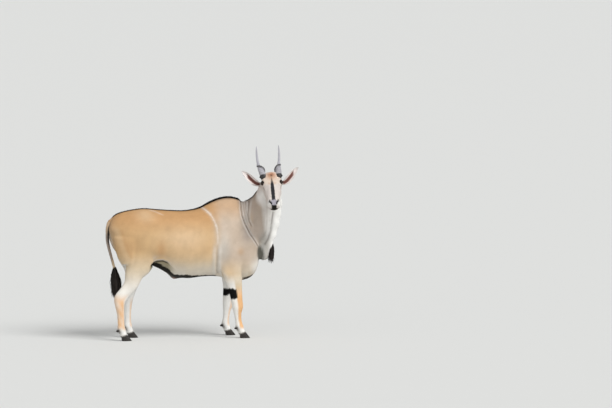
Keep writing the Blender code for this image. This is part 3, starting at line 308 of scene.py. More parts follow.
# Reach and height or depth of the nostril's rim, its hole, the lips and the slit between them.
# The mesh is made finer twice, each time within these reaches of eyes, nostrils and mouth.
DETAIL_REACHES = [(0.045, 0.022, 0.020), (0.036, 0.020, 0.014)]
NOSTRIL_RIM = (0.014, 0.0045)
NOSTRIL_HOLE = (0.0064, 0.015)
LIPS = (0.013, 0.0030)
MOUTH_SLIT = (0.0043, 0.0100)
TEAR_LINE = [(0.098, 0.092, -0.048), (0.125, 0.088, -0.052), (0.150, 0.084, -0.056)]
CHEEK_RIDGE = [(0.110, 0.096, -0.090), (0.160, 0.090, -0.094), (0.205, 0.084, -0.096)]

# The left horn in the head's axes: place on its axis, radius, and how far the keel stands out.
HORN = [
    ((0.030, 0.072, -0.040), 0.0320, 0.000),
    ((-0.008, 0.080, -0.042), 0.0350, 0.008),
    ((-0.045, 0.086, -0.045), 0.0330, 0.014),
    ((-0.085, 0.093, -0.053), 0.0285, 0.016),
    ((-0.125, 0.100, -0.065), 0.0240, 0.017),
    ((-0.165, 0.107, -0.079), 0.0170, 0.006),
    ((-0.205, 0.112, -0.092), 0.0135, 0.000),
    ((-0.270, 0.117, -0.111), 0.0118, 0.000),
    ((-0.345, 0.120, -0.131), 0.0098, 0.000),
    ((-0.415, 0.119, -0.147), 0.0064, 0.000),
    ((-0.450, 0.117, -0.154), 0.0020, 0.000),
]
HORN_LEAN = -0.012
HORN_TURNS = 1.25
HORN_KEELED = 0.50

# The left ear in the head's axes: place on its middle, half width, half angle of the cup, thickness.
EAR = [
    ((0.052, 0.074, -0.100), 0.0170, 2.55, 0.0060),
    ((0.048, 0.105, -0.108), 0.0200, 2.45, 0.0060),
    ((0.038, 0.140, -0.115), 0.0250, 2.12, 0.0055),
    ((0.012, 0.175, -0.117), 0.0345, 1.70, 0.0050),
    ((-0.030, 0.213, -0.114), 0.0375, 1.45, 0.0045),
    ((-0.075, 0.250, -0.109), 0.0320, 1.25, 0.0040),
    ((-0.108, 0.280, -0.104), 0.0200, 1.10, 0.0032),
    ((-0.128, 0.300, -0.100), 0.0035, 1.00, 0.0020),
]
EAR_FACING = (0.25, 0.22, 0.94)
EAR_FOOT = (0.0465, 0.112, -0.109)
EAR_ARC = 25
EAR_ROWS = 60

# The tail: place on its axis, radius.
TAIL = [
    ((-0.735, 0.000, 1.270), 0.0270),
    ((-0.775, 0.000, 1.245), 0.0270),
    ((-0.795, 0.000, 1.195), 0.0240),
    ((-0.802, 0.000, 1.130), 0.0210),
    ((-0.802, 0.000, 1.050), 0.0185),
    ((-0.788, 0.000, 0.975), 0.0165),
    ((-0.766, 0.000, 0.890), 0.0150),
    ((-0.742, 0.000, 0.810), 0.0135),
    ((-0.723, 0.000, 0.740), 0.0130),
]

# How deep the coat lies over the skin on the body, the face and the lower legs.
COAT_DEPTH = 0.0030
FACE_DEPTH = 0.0010
LEG_DEPTH = 0.0015

# Stripes, creases and folds of flank and neck, as paths of x and z; shade is painted along the elbow's
# crease, the folds of neck and throat, and below the flank's fold.
SHOULDER_STRIPE = [
    (0.205, 1.400), (0.271, 1.332), (0.310, 1.261), (0.333, 1.191), (0.338, 1.109),
    (0.334, 1.020),
]
ELBOW_CREASE = [
    (0.334, 1.020), (0.326, 0.920), (0.330, 0.810), (0.345, 0.730), (0.371, 0.682),
    (0.404, 0.648),
]
LOIN_STRIPE = [(-0.375, 1.380), (-0.300, 1.357), (-0.230, 1.324)]
FLANK_FOLD = [
    (-0.372, 0.800), (-0.340, 0.825), (-0.308, 0.843), (-0.247, 0.849), (-0.196, 0.826),
    (-0.150, 0.780), (-0.060, 0.710),
]
HAM_LINE = [(-0.686, 1.170), (-0.655, 1.060), (-0.625, 0.960), (-0.587, 0.893)]
THROAT_FOLD = [
    (0.962, 1.330), (0.957, 1.225), (0.950, 1.128), (0.925, 1.040), (0.895, 0.990),
]
NECK_FOLDS = [
    [
        (0.640, 1.455), (0.625, 1.375), (0.628, 1.300), (0.655, 1.215),
        (0.708, 1.108), (0.785, 1.005), (0.812, 0.965),
    ],
    [(0.729, 1.475), (0.706, 1.393), (0.694, 1.311), (0.704, 1.239), (0.729, 1.181)],
    [(0.663, 1.452), (0.657, 1.358), (0.665, 1.276), (0.690, 1.216)],
    [(0.688, 1.450), (0.678, 1.358), (0.684, 1.276), (0.706, 1.216)],
]
# How far the back of the thighs is hollowed, by height.
THIGH_HOLLOW = [
    (0.700, 0.000),
    (0.788, 0.018),
    (0.841, 0.034),
    (0.894, 0.040),
    (0.947, 0.040),
    (1.000, 0.034),
    (1.053, 0.023),
    (1.106, 0.010),
    (1.170, 0.000),
]
RIB_TOPS = (-0.030, 0.040, 0.110, 0.180, 0.245)

# Dark lines and edges, as pairs: place along the body or face and depth, height and half width.
BACK_LINE = [
    (-0.74, 0.004), (-0.60, 0.006), (-0.40, 0.007), (0.05, 0.008),
    (0.20, 0.014), (0.35, 0.020), (0.60, 0.016), (0.74, 0.010),
]
BELLY_LINE = [
    (-0.42, 0.012), (-0.36, 0.034), (-0.28, 0.054), (-0.18, 0.052), (-0.08, 0.050),
    (0.02, 0.044), (0.10, 0.036), (0.20, 0.022), (0.33, 0.012),
]
BLAZE = [
    (0.03, 0.002), (0.06, 0.005), (0.085, 0.009), (0.11, 0.013), (0.15, 0.016),
    (0.20, 0.017), (0.26, 0.015), (0.30, 0.017), (0.33, 0.022),
]
LOWER_LIP = [
    (-0.108, 0.002), (-0.098, 0.018), (-0.082, 0.031), (-0.066, 0.036),
    (-0.056, 0.020), (-0.044, 0.018), (-0.030, 0.022),
]

# Colours of skin and coat, linear, and the colours of painted shade.
CREAM = (0.600, 0.490, 0.345)
CREAM_WHITE = (0.640, 0.540, 0.450)
PALE_TAN = (0.610, 0.440, 0.275)
TAN = (0.520, 0.345, 0.180)
ORANGE = (0.470, 0.265, 0.120)
FAWN = (0.500, 0.405, 0.320)
GREY_FAWN = (0.330, 0.280, 0.245)
WHITE = (0.780, 0.770, 0.740)
PALE_GREY = (0.500, 0.480, 0.440)
DULL_GREY = (0.300, 0.290, 0.265)
# painted shade: the dark of the hollow between the dewlap's hind part and the brisket
PAINTED_HOLLOW_SHADE = (0.070, 0.066, 0.050)
# painted shade: the olive-grey of the belly in shade under the flank's fold
PAINTED_SHADE_OLIVE = (0.250, 0.225, 0.140)
BROWN_BLACK = (0.032, 0.024, 0.018)
BLACK = (0.007, 0.0065, 0.0065)
UMBER = (0.045, 0.032, 0.024)
RUST = (0.400, 0.150, 0.070)
PEACH = (0.560, 0.330, 0.200)
LEG_TAN = (0.700, 0.400, 0.180)
FACE_GREY = (0.600, 0.540, 0.500)
FACE_STRIPE = (0.019, 0.020, 0.024)
NOSE = (0.360, 0.340, 0.380)
DARK_LIP = (0.014, 0.013, 0.010)
EAR_RED = (0.140, 0.040, 0.027)
EAR_PALE = (0.740, 0.670, 0.640)
PINK = (0.500, 0.290, 0.235)
# the dark of the horn's keel and base: partly the horn's own colour, partly painted shade
KEEL = (0.018, 0.016, 0.015)
HORN_GREY = (0.370, 0.360, 0.390)
HORN_BROWN = (0.260, 0.240, 0.240)

# How matt each kind of surface is; it is kept beside the colour of every point.
MATT = 0.72
MOIST = 0.34
LEATHERY = 0.50

# Tufts of the coat: how many there are in all and in a piece, and length and width on body, neck,
# lower legs, face and ears.
TUFTS = 118000
TUFTS_PER_PIECE = 19700
BODY_TUFT = (0.0160, 0.0025)
NECK_TUFT = (0.0110, 0.0020)
LEG_TUFT = (0.0105, 0.0024)
FACE_TUFT = (0.0065, 0.0016)
EAR_TUFT = (0.0080, 0.0015)

# How wide the place of one tuft is on the unwrap of the skin.
PATCH = 0.003

# How far the shading of a lock turns to its sides, against the skin's own.
ROUNDNESS = 0.30

# The camera stands far off, as through a long lens: place seen in the photo's middle, way it looks.
PHOTO_WIDTH = 612
PIXELS_PER_METRE = 94.0
CAMERA_AZIMUTH = -14.0
CAMERA_ELEVATION = 4.0
CAMERA_AWAY = 40.0
ORIGIN_PIXEL = (182.0, 337.8)
MIDDLE_PIXEL = (306.0, 204.0)

# Long hair hangs round these cores: place, radius.
TAIL_HAIR = [
    ((-0.733, 0.000, 0.790), 0.0150),
    ((-0.725, 0.000, 0.740), 0.0235),
    ((-0.718, 0.000, 0.680), 0.0260),
    ((-0.718, 0.000, 0.620), 0.0220),
    ((-0.720, 0.000, 0.570), 0.0120),
]
DEWLAP_HAIR = [
    ((0.974, -0.069, 1.015), 0.0070),
    ((0.974, -0.067, 0.965), 0.0160),
    ((0.967, -0.065, 0.915), 0.0180),
    ((0.960, -0.064, 0.875), 0.0080),
]


def eased_rows(rows, count):
    """count rows read from a smooth curve through the given rows."""
    rows = np.array(rows, float)
    place = np.linspace(0, len(rows) - 1, count)
    first = np.clip(place.astype(int), 0, len(rows) - 2)
    share = (place - first)[:, None]
    padded = np.vstack([2 * rows[0] - rows[1], rows, 2 * rows[-1] - rows[-2]])
    before, start, end, after = (padded[first + step] for step in range(4))
    return 0.5 * (
        2 * start
        + (end - before) * share
        + (2 * before - 5 * start + 4 * end - after) * share**2
        + (3 * start - before - 3 * end + after) * share**3
    )


def unit(vector):
    vector = np.asarray(vector, float)
    return vector / np.linalg.norm(vector)


def section(centre, across, up, half_width, above, below, squareness=2.0, count=RING):
    """A closed ring of points: an ellipse, squarer with a higher squareness, flatter below or above."""
    angle = np.linspace(0, 2 * math.pi, count, endpoint=False)
    side = np.sign(np.cos(angle)) * np.abs(np.cos(angle)) ** (2 / squareness)
    lift = np.sign(np.sin(angle)) * np.abs(np.sin(angle)) ** (2 / squareness)
    height = np.where(lift >= 0, above, below) * lift
    return np.asarray(centre) + np.outer(side * half_width, across) + np.outer(height, up)


def upright_section(x, top, bottom, half_width, widest, squareness):
    """A section across X, by its top and bottom heights and the height of its widest level."""
    heights = (top - widest, widest - bottom)
    return section((x, 0, widest), (0, 1, 0), (0, 0, 1), half_width, *heights, squareness)


def placed(name, data):
    """A new object with the data, in the scene."""
    obj = bpy.data.objects.new(name, data)
    bpy.context.scene.collection.objects.link(obj)
    return obj


def mesh_object(name, points, faces):
    mesh = bpy.data.meshes.new(name)
    mesh.from_pydata([tuple(p) for p in points], [], faces)
    return placed(name, mesh)


def loft(name, rings, winding=-1):
    """A closed tube through rings of equal length, capped at both ends; its diagonals lean as it winds."""
    count = len(rings[0])
    points = np.vstack(rings)
    faces = [tuple(range(count))[::-1], tuple(range(len(points) - count, len(points)))]
    for ring in range(len(rings) - 1):
        for k in range(count):
            a, b = ring * count + k, ring * count + (k + 1) % count
            if winding > 0:
                faces += [(a, b, a + count), (b, b + count, a + count)]
            else:
                faces += [(a, b, b + count), (a, b + count, a + count)]
    obj = mesh_object(name, points, faces)
    face_outward(obj)
    return obj


def face_outward(obj):
    work = bmesh.new()
    work.from_mesh(obj.data)
    bmesh.ops.recalc_face_normals(work, faces=work.faces)
    work.to_mesh(obj.data)
    work.free()


def tapered_path(name, stations, count, squareness=2.1):
    """A limb: stations give x, y, z, front-to-back size and side-to-side size."""
    rows = eased_rows(stations, count)
    heading = np.gradient(rows[:, :3], axis=0)
    rings = []
    for row, direction in zip(rows, heading):
        along = unit(direction)
        fore = unit(np.cross((0, 1, 0), along))
        side = np.cross(along, fore)
        rings.append(section(row[:3], side, fore, row[4] / 2, row[3] / 2, row[3] / 2, squareness))
    return loft(name, rings)


def head_matrix():
    """The head's own axes in the model, turned by HEAD_YAW, nodding by HEAD_PITCH, leaning by HEAD_ROLL."""
    yaw = Matrix.Rotation(math.radians(HEAD_YAW), 4, "Z")
    roll = Matrix.Rotation(math.radians(HEAD_ROLL), 4, "X")
    pitch = Matrix.Rotation(math.radians(HEAD_PITCH), 4, "Y")
    return Matrix.Translation(CROWN) @ yaw @ roll @ pitch


def head_turn():
    """The turn alone, from the head's own axes to the model's."""
    return np.array(head_matrix())[:3, :3]


def trunk():
    return loft("trunk", [upright_section(*row) for row in eased_rows(TRUNK, 80)])


def neck_rows(count):
    flat = [(*crest, *throat, half_width) for crest, throat, half_width in NECK]
    return eased_rows(flat, count)


def neck():
    rows = neck_rows(30)
    crest, throat = rows[:, :3], rows[:, 3:6]
    middle = (crest + throat) / 2
    heading = np.gradient(middle, axis=0)
    rings = []
    for k in range(len(rows)):
        up = crest[k] - throat[k]
        across = unit(np.cross(unit(up), heading[k]))
        depth = np.linalg.norm(up) / 2
        rings.append(section(middle[k], across, unit(up), rows[k, 6], depth, depth, 1.9))
    return loft("neck", rings)


def dewlap():
    """A fold of skin from inside the throat to its free lower edge, thin at the edge."""
    count = 26
    edge = eased_rows(DEWLAP_EDGE, count)
    throat = neck_rows(count)
    root = throat[:, 3:6] * 0.72 + throat[:, :3] * 0.28
    heading = np.gradient(edge, axis=0)
    rings = []
    for k in range(count):
        down = unit(edge[k] - root[k])
        across = unit(np.cross(down, unit(heading[k])))
        profile = []
        for share in (0.0, 0.35, 0.6, 0.8, 0.93, 1.0):
            thick = DEWLAP_ROOT_THICK * (1 - share) ** 1.2 + DEWLAP_EDGE_THICK * share
            half = thick / 2 * (1.0 if share < 1 else 0.3)
            profile.append((root[k] + (edge[k] - root[k]) * share, half))
        left = [spot + across * half for spot, half in profile]
        right = [spot - across * half for spot, half in reversed(profile)]
        rings.append(np.array(left + right))
    return loft("dewlap", rings)


def head():
    frame = np.array(head_matrix())
    turn, place = frame[:3, :3], frame[:3, 3]
    rings = []
    for x, top, bottom, half_width, widest, squareness in eased_rows(HEAD, 36):
        ring = upright_section(x, top, bottom, half_width, widest, squareness)
        rings.append(ring @ turn.T + place)
    return loft("head", rings)


def evaluated(obj, name):
    """A new object with the mesh that obj's modifiers make. obj is removed."""
    graph = bpy.context.evaluated_depsgraph_get()
    mesh = bpy.data.meshes.new_from_object(obj.evaluated_get(graph))
    bpy.data.objects.remove(obj)
    return placed(name, mesh)


def joined(name, objects):
    """The objects as one mesh object, without fusing them."""
    work = bmesh.new()
    for obj in objects:
        obj.data.transform(obj.matrix_world)
        work.from_mesh(obj.data)
        bpy.data.objects.remove(obj)
    mesh = bpy.data.meshes.new(name)
    work.to_mesh(mesh)
    work.free()
    return placed(name, mesh)


def fused(name, objects, voxel):
    """One closed skin over overlapping closed forms."""
    obj = joined(name, objects)
    remesh = obj.modifiers.new("remesh", "REMESH")
    remesh.mode = "VOXEL"
    remesh.voxel_size = voxel
    remesh.adaptivity = 0.0
    return evaluated(obj, name)


def read_points(mesh):
    points = np.empty(len(mesh.vertices) * 3, np.float64)
    mesh.vertices.foreach_get("co", points)
    return points.reshape(-1, 3)


def write_points(mesh, points):
    mesh.vertices.foreach_set("co", points.ravel())
    mesh.update()


def read_normals(mesh):
    normals = np.empty(len(mesh.vertices) * 3, np.float32)
    mesh.vertex_normals.foreach_get("vector", normals)
    return normals.reshape(-1, 3).astype(float)


def relax(mesh, rounds, share=None, push=0.52):
    """Smooths the mesh, by share per vertex: each round pulls in and pushes back, to keep the volume."""
    edges = np.empty(len(mesh.edges) * 2, np.int64)
    mesh.edges.foreach_get("vertices", edges)
    first, second = edges.reshape(-1, 2).T
    points = read_points(mesh)
    count = len(points)
    degree = np.bincount(first, minlength=count) + np.bincount(second, minlength=count)
    weight = np.ones(count) if share is None else share
    for step in range(rounds * 2):
        total = np.stack(
            [
                np.bincount(first, weights=points[second, axis], minlength=count)
                + np.bincount(second, weights=points[first, axis], minlength=count)
                for axis in range(3)
            ],
            axis=1,
        )
        pull = 0.5 if step % 2 == 0 else -push
        points += (total / degree[:, None] - points) * (pull * weight)[:, None]
    write_points(mesh, points)


def swell(points, normals, centre, reach, turn_y, height):
    """Raises the points near centre along their normals, fading out with distance."""
    angle = math.radians(turn_y)
    offset = points - centre
    along_x = offset[:, 0] * math.cos(angle) - offset[:, 2] * math.sin(angle)
    along_z = offset[:, 0] * math.sin(angle) + offset[:, 2] * math.cos(angle)
    far = (along_x / reach[0]) ** 2 + (offset[:, 1] / reach[1]) ** 2 + (along_z / reach[2]) ** 2
    points += normals * (height * np.exp(-far))[:, None]


def distance_to_path(points, path):
    path = np.asarray(path, float)
    nearest = np.full(len(points), np.inf)
    for start, end in zip(path[:-1], path[1:]):
        leg = end - start
        share = np.clip((points - start) @ leg / (leg @ leg), 0, 1)
        nearest = np.minimum(nearest, np.linalg.norm(points - start - share[:, None] * leg, axis=1))
    return nearest


def crease(points, normals, path, width, depth):
    """Sinks the skin along a path; a negative depth raises a ridge."""
    points -= normals * (depth * near(distance_to_path(points, path), width))[:, None]


def both_sides(swells):
    for (x, y, z), reach, turn, height in swells:
        for side in (1, -1):
            yield (x, y * side, z), reach, turn, height


def body_swells(mesh):
    points, normals = read_points(mesh), read_normals(mesh)
    for form in [*both_sides(FORE_SWELLS), *both_sides(HIND_SWELLS), *MIDDLE_SWELLS]:
        swell(points, normals, *form)
    write_points(mesh, points)


def clay():
    """The whole body as one smooth skin, before its fine forms."""
    forms = [trunk(), neck(), dewlap(), head()]
    forms += [tapered_path(name, stations, 50) for name, stations in LEGS.items()]
    body = fused("body", forms, CLAY_VOXEL)
    relax(body.data, 30)
    points = read_points(body.data)
    share = np.zeros(len(points))
    for centre in LEG_TOPS:
        share = np.maximum(
            share, np.exp(-((np.linalg.norm(points - centre, axis=1) / LEG_TOP_REACH) ** 4))
        )
    relax(body.data, LEG_TOP_ROUNDS, share, push=0.0)
    body_swells(body.data)
    return body


def to_head(points):
    """The points in the head's own axes."""
    frame = np.array(head_matrix().inverted())
    return points @ frame[:3, :3].T + frame[:3, 3]


def from_head(points):
    frame = np.array(head_matrix())
    return points @ frame[:3, :3].T + frame[:3, 3]


def mirrored(path, side):
    return [(x, y * side, z) for x, y, z in path]


def flipped(place, side):
    """A place or way of the left side, for side 1, or its mirror image on the right, for side -1."""
    x, y, z = place
    return np.array((x, y * side, z))


def eye_gap(spots, side):
    """How far the spots are from the middle of an eye."""
    return np.linalg.norm(spots - flipped(EYE, side), axis=1)


def eye_axes(side):
    """The middle of an eye, and its ways outward, along its slit and up across it."""
    out = unit(flipped(EYE_OUT, side))
    long = flipped(EYE_LONG, side)
    long = unit(long - out * (long @ out))
    return flipped(EYE, side), out, long, np.cross(long, out) * -side


def laid_on(path, spots):
    """A smooth path through the points of the surface nearest to those of the given path."""
    found = [spots[np.argmin(np.linalg.norm(spots - place, axis=1))] for place in path]
    return eased_rows(found, 5 * len(path))


def refine(mesh, chosen):
    """Halves the edges among the chosen vertices and leaves only triangles."""
    work = bmesh.new()
    work.from_mesh(mesh)
    work.verts.ensure_lookup_table()
    edges = [
        edge for edge in work.edges if chosen[edge.verts[0].index] and chosen[edge.verts[1].index]
    ]
    bmesh.ops.subdivide_edges(work, edges=edges, cuts=1, use_grid_fill=True)
    bmesh.ops.triangulate(work, faces=work.faces)
    work.to_mesh(mesh)
    work.free()


def in_head(spots):
    return (spots[:, 0] > -0.12) & (np.abs(spots[:, 1]) < 0.20) & (spots[:, 2] > -0.26)


def in_details(spots, eye, nostril, mouth):
    """Which spots lie within these reaches of an eye, a nostril or the mouth."""
    close = np.zeros(len(spots), bool)
    for side in (1, -1):
        close |= eye_gap(spots, side) < eye
        close |= distance_to_path(spots, mirrored(NOSTRIL, side)) < nostril
        close |= distance_to_path(spots, mirrored(MOUTH, side)) < mouth
    return close


def ramp(values, low, high):
    """0 below low, 1 above high, eased between."""
    share = np.clip((values - low) / (high - low), 0, 1)
    return share * share * (3 - 2 * share)


def open_eye(spots, side):
    """Draws the skin over the eyeball as two lids with an almond opening between them."""
    centre, out, long, rise = eye_axes(side)
    offset = spots - centre
    far = np.linalg.norm(offset, axis=1)
    way = offset / far[:, None]
    opening = np.hypot((way @ long) / 0.86, (way @ rise) / 0.52)
    lid = EYE_RADIUS + LID * (1.35 - 0.35 * ramp(opening, 1.0, 1.5))
    target = np.where(opening > 1.0, lid, EYE_RADIUS - 0.004)
    pull = fade(far, EYE_RADIUS * 1.25, EYE_RADIUS * 2.0) * ramp(way @ out, 0.0, 0.35)
    spots[:] = centre + way * (far * (1 - pull) + target * pull)[:, None]


def head_normals(mesh):
    return read_normals(mesh) @ head_turn()


def flat_box(name, centre, normal, half_long, half_wide, depth):
    """A box with its middle at centre and its depth along normal."""
    normal = Vector(normal).normalized()
    across = Vector((0, 1, 0)) if abs(normal.y) < 0.5 else Vector((1, 0, 0))
    across = (across - normal * across.dot(normal)).normalized()
    along = across.cross(normal)
    place = Matrix((along, across, normal)).transposed().to_4x4()
    work = bmesh.new()
    bmesh.ops.create_cube(
        work, size=2.0, matrix=Matrix.Diagonal((half_long, half_wide, depth / 2, 1.0))
    )
    mesh = bpy.data.meshes.new(name)
    work.to_mesh(mesh)
    work.free()
    mesh.transform(Matrix.Translation(centre) @ place)
    return placed(name, mesh)


def cut_away(obj, cutter):
    """obj without the space of cutter, which is removed."""
    name = obj.name
    boolean = obj.modifiers.new("cut", "BOOLEAN")
    boolean.operation = "DIFFERENCE"
    boolean.object = cutter
    obj.name = name + "_uncut"
    made = evaluated(obj, name)
    bpy.data.objects.remove(cutter)
    return made


def united(obj, other):
    """One body from both; other is removed."""
    name = obj.name
    boolean = obj.modifiers.new("unite", "BOOLEAN")
    boolean.operation = "UNION"
    boolean.object = other
    obj.name = name + "_alone"
    made = evaluated(obj, name)
    bpy.data.objects.remove(other)
    return made


def round_path(name, stations, ring, rows, grow=0.0):
    """A tapering round rod; grow makes it larger all round."""
    table = eased_rows([(*place, radius) for place, radius in stations], rows)
    heading = np.gradient(table[:, :3], axis=0)
    table[0, :3] -= unit(heading[0]) * grow
    table[-1, :3] += unit(heading[-1]) * grow
    rings = []
    for row, direction in zip(table, heading):
        along = unit(direction)
        side = unit(np.cross((0, 1, 0), along)) if abs(along[1]) < 0.9 else unit(np.cross((1, 0, 0), along))
        radius = max(row[3], 0.001) + grow
        rings.append(
            section(row[:3], side, np.cross(along, side), radius, radius, radius, 2.0, ring)
        )
    return loft(name, rings)


def repeated(row, count):
    """The row, count times, as the rows of a table."""
    return np.tile(np.array(row), (count, 1))


def mix(tones, colour, share):
    """The tones drawn towards the colour by share, point by point."""
    return tones + (np.array(colour) - tones) * share[:, None]


def layered(tones, layers):
    """The tones under layers of colour and share, laid on one after the other."""
    for colour, share in layers:
        tones = mix(tones, colour, share)
    return tones


def near(distance, width):
    return np.exp(-((distance / width) ** 2))


def fade(values, low, high):
    """1 below low, 0 above high, eased between."""
    return 1 - ramp(values, low, high)


def steps_of(values, table):
    """Read from a table of pairs, in straight lines from pair to pair."""
    return np.interp(values, *np.array(table).T)


def side_gap(points, path):
    """How far the points lie from a path of x and z, seen from the side."""
    return distance_to_path(points[:, [0, 2]], path)


def head_share(spots):
    """1 on the head, 0 on the neck behind it, by places in the head's axes."""
    inside = (np.abs(spots[:, 1]) < 0.36) & (spots[:, 0] < 0.45) & (spots[:, 2] < 0.08)
    return ramp(spots[:, 0], -0.150, -0.020) * fade(-spots[:, 2], 0.205, 0.260) * inside


def ear_share(spots):
    """1 on the ears beyond their roots."""
    x, y, z = spots.T
    inside = (x > -0.20) & (x < 0.085) & (z < -0.055) & (z > -0.18)
    return ramp(np.abs(y), 0.112, 0.128) * inside * (np.abs(y) < 0.36)


def leg_places(points):
    """For each point its front-to-back and outward place in its leg, from -1 to 1."""
    ahead = np.zeros(len(points))
    outward = np.zeros(len(points))
    for name, stations in LEGS.items():
        rows = eased_rows(stations, 60)[::-1]
        fore, right = "fore" in name, "right" in name
        chosen = ((points[:, 0] > 0) == fore) & ((points[:, 1] < 0) == right)
        x, y, long, wide = (
            np.interp(points[chosen, 2], rows[:, 2], rows[:, k]) for k in (0, 1, 3, 4)
        )
        ahead[chosen] = (points[chosen, 0] - x) / long * 2
        outward[chosen] = (points[chosen, 1] - y) / wide * (-2 if right else 2)
    return ahead, outward


def oval(points, centre, reach):
    """1 at centre, fading over reach along x and z, seen from the side."""
    x, z = (points[:, 0] - centre[0]) / reach[0], (points[:, 2] - centre[1]) / reach[1]
    return np.exp(-(x**2 + z**2))


def paint_trunk(points):
    """The ground colours of the trunk and neck, with painted shade in the flank's hollow and round the
    tail's root.
    """
    x, y, z = points.T
    behind_ham = near(side_gap(points + (0.045, 0, 0), HAM_LINE), 0.030)
    layers = [
        (TAN, ramp(z, 0.74, 0.98)),
        (PALE_TAN, oval(points, (-0.02, 1.08), (0.27, 0.16)) * 0.85),
        (ORANGE, ramp(z, 1.08, 1.34) * 0.85),
        (PALE_TAN, oval(points, (-0.42, 1.32), (0.10, 0.07)) * 0.6),
        # painted shade: a darker orange streak in the hollow of the flank
        (ORANGE, oval(points, (-0.275, 0.965), (0.045, 0.085)) * 0.60),
        (ORANGE, oval(points, (-0.60, 1.02), (0.10, 0.14)) * 0.35),
        # painted shade: the rear of the rump greyer round the tail
        (GREY_FAWN, oval(points, (-0.80, 1.08), (0.050, 0.20)) * 0.30),
        (PALE_TAN, behind_ham * 0.40),
        (ORANGE, near(side_gap(points, HAM_LINE), 0.016) * 0.32),
        (FAWN, ramp(x, 0.25, 0.42) * ramp(z, 0.60, 0.90) * (1 - 0.55 * ramp(z, 1.22, 1.42))),
        (PALE_GREY, oval(points, (0.400, 0.96), (0.075, 0.17)) * 0.60),
        (ORANGE, oval(points, (0.600, 0.925), (0.035, 0.040)) * 0.40),
        (TAN, oval(points, (0.470, 0.72), (0.080, 0.10)) * 0.45),
        (GREY_FAWN, ramp(x, 0.57, 0.68) * ramp(z, 0.95, 1.10) * 0.85),
        (FAWN, oval(points, (0.80, 1.28), (0.075, 0.24)) * 0.45),
    ]
    return layered(repeated(CREAM, len(points)), layers)


def paint_throat(tones, points):
    """The pale throat and dewlap, with a painted highlight down the throat's near side, painted shade along
    the throat's fold, and painted shade in the hollow between the dewlap's hind part and the brisket.
    """
    x, y, z = points.T
    wide = np.abs(y)
    throat = neck_rows(40)
    line = distance_to_path(points, throat[8:, 3:6] * 0.80 + throat[8:, :3] * 0.20)
    reach = ramp(line - distance_to_path(points, DEWLAP_EDGE[2:]), -0.100, 0.030)
    edge = steps_of(z, [(1.05, 0.905), (1.20, 0.865), (1.40, 0.835), (1.60, 0.825)])
    # painted highlight: a lit white strip down the near side of the throat, streaked like hair
    painted_highlight = ramp(x - edge, -0.030, 0.020) * ramp(z, 1.02, 1.15)
    strands = 0.80 + 0.14 * np.sin(x * 190 + z * 9) + 0.10 * np.sin(x * 433 + z * 21)
    bright = steps_of(x, [(0.80, 0.85), (0.88, 0.55), (0.95, 0.80)])
    lean = steps_of(z, [(0.80, 0.852), (0.90, 0.838), (1.00, 0.826)])
    ragged = 0.08 * np.sin(x * 300 + z * 20)
    # painted shade in the hollow between the dewlap's hind part and the brisket, on the near side
    hollow_shade = fade(np.hypot((x - lean) / 0.050, (z - 0.890) / 0.100) + ragged, 0.55, 1.15)
    lower = ramp(x, 0.80, 0.86) * fade(x, 0.890, 0.950) * fade(z, 0.90, 1.06) * fade(y, -0.045, 0.010)
    streaks = 0.55 + 0.25 * np.sin(x * 160 + z * 12) + 0.20 * np.sin(x * 371 - z * 31)
    fold = side_gap(points, THROAT_FOLD)
    layers = [
        (WHITE, reach * ramp(x, 0.86, 0.97)),
        (PALE_GREY, reach * fade(x, 0.88, 0.98) * ramp(x, 0.78, 0.84)),
        # painted highlight down the throat's near side
        (WHITE, painted_highlight * np.clip(strands, 0, 1) * bright),
        (TAN, oval(points, (0.715, 1.255), (0.030, 0.075)) * 0.30 * (y < 0)),
        (DULL_GREY, lower * np.clip(streaks, 0, 1) * 0.75),
        (DULL_GREY, oval(points, (0.870, 1.050), (0.060, 0.095)) * 0.55 * (y < 0)),
        # painted shade along the throat's fold
        (UMBER, near(fold, 0.016) * 0.42 * (wide < 0.24) + near(fold, 0.006) * 0.20 * (y < 0)),
        (WHITE, oval(points, (0.80, 0.74), (0.08, 0.10)) * (wide < 0.20) * 0.75),
        # painted shade in the hollow behind the dewlap
        (PAINTED_HOLLOW_SHADE, hollow_shade * fade(y, -0.030, 0.030) * 0.90),
    ]
    return layered(tones, layers)


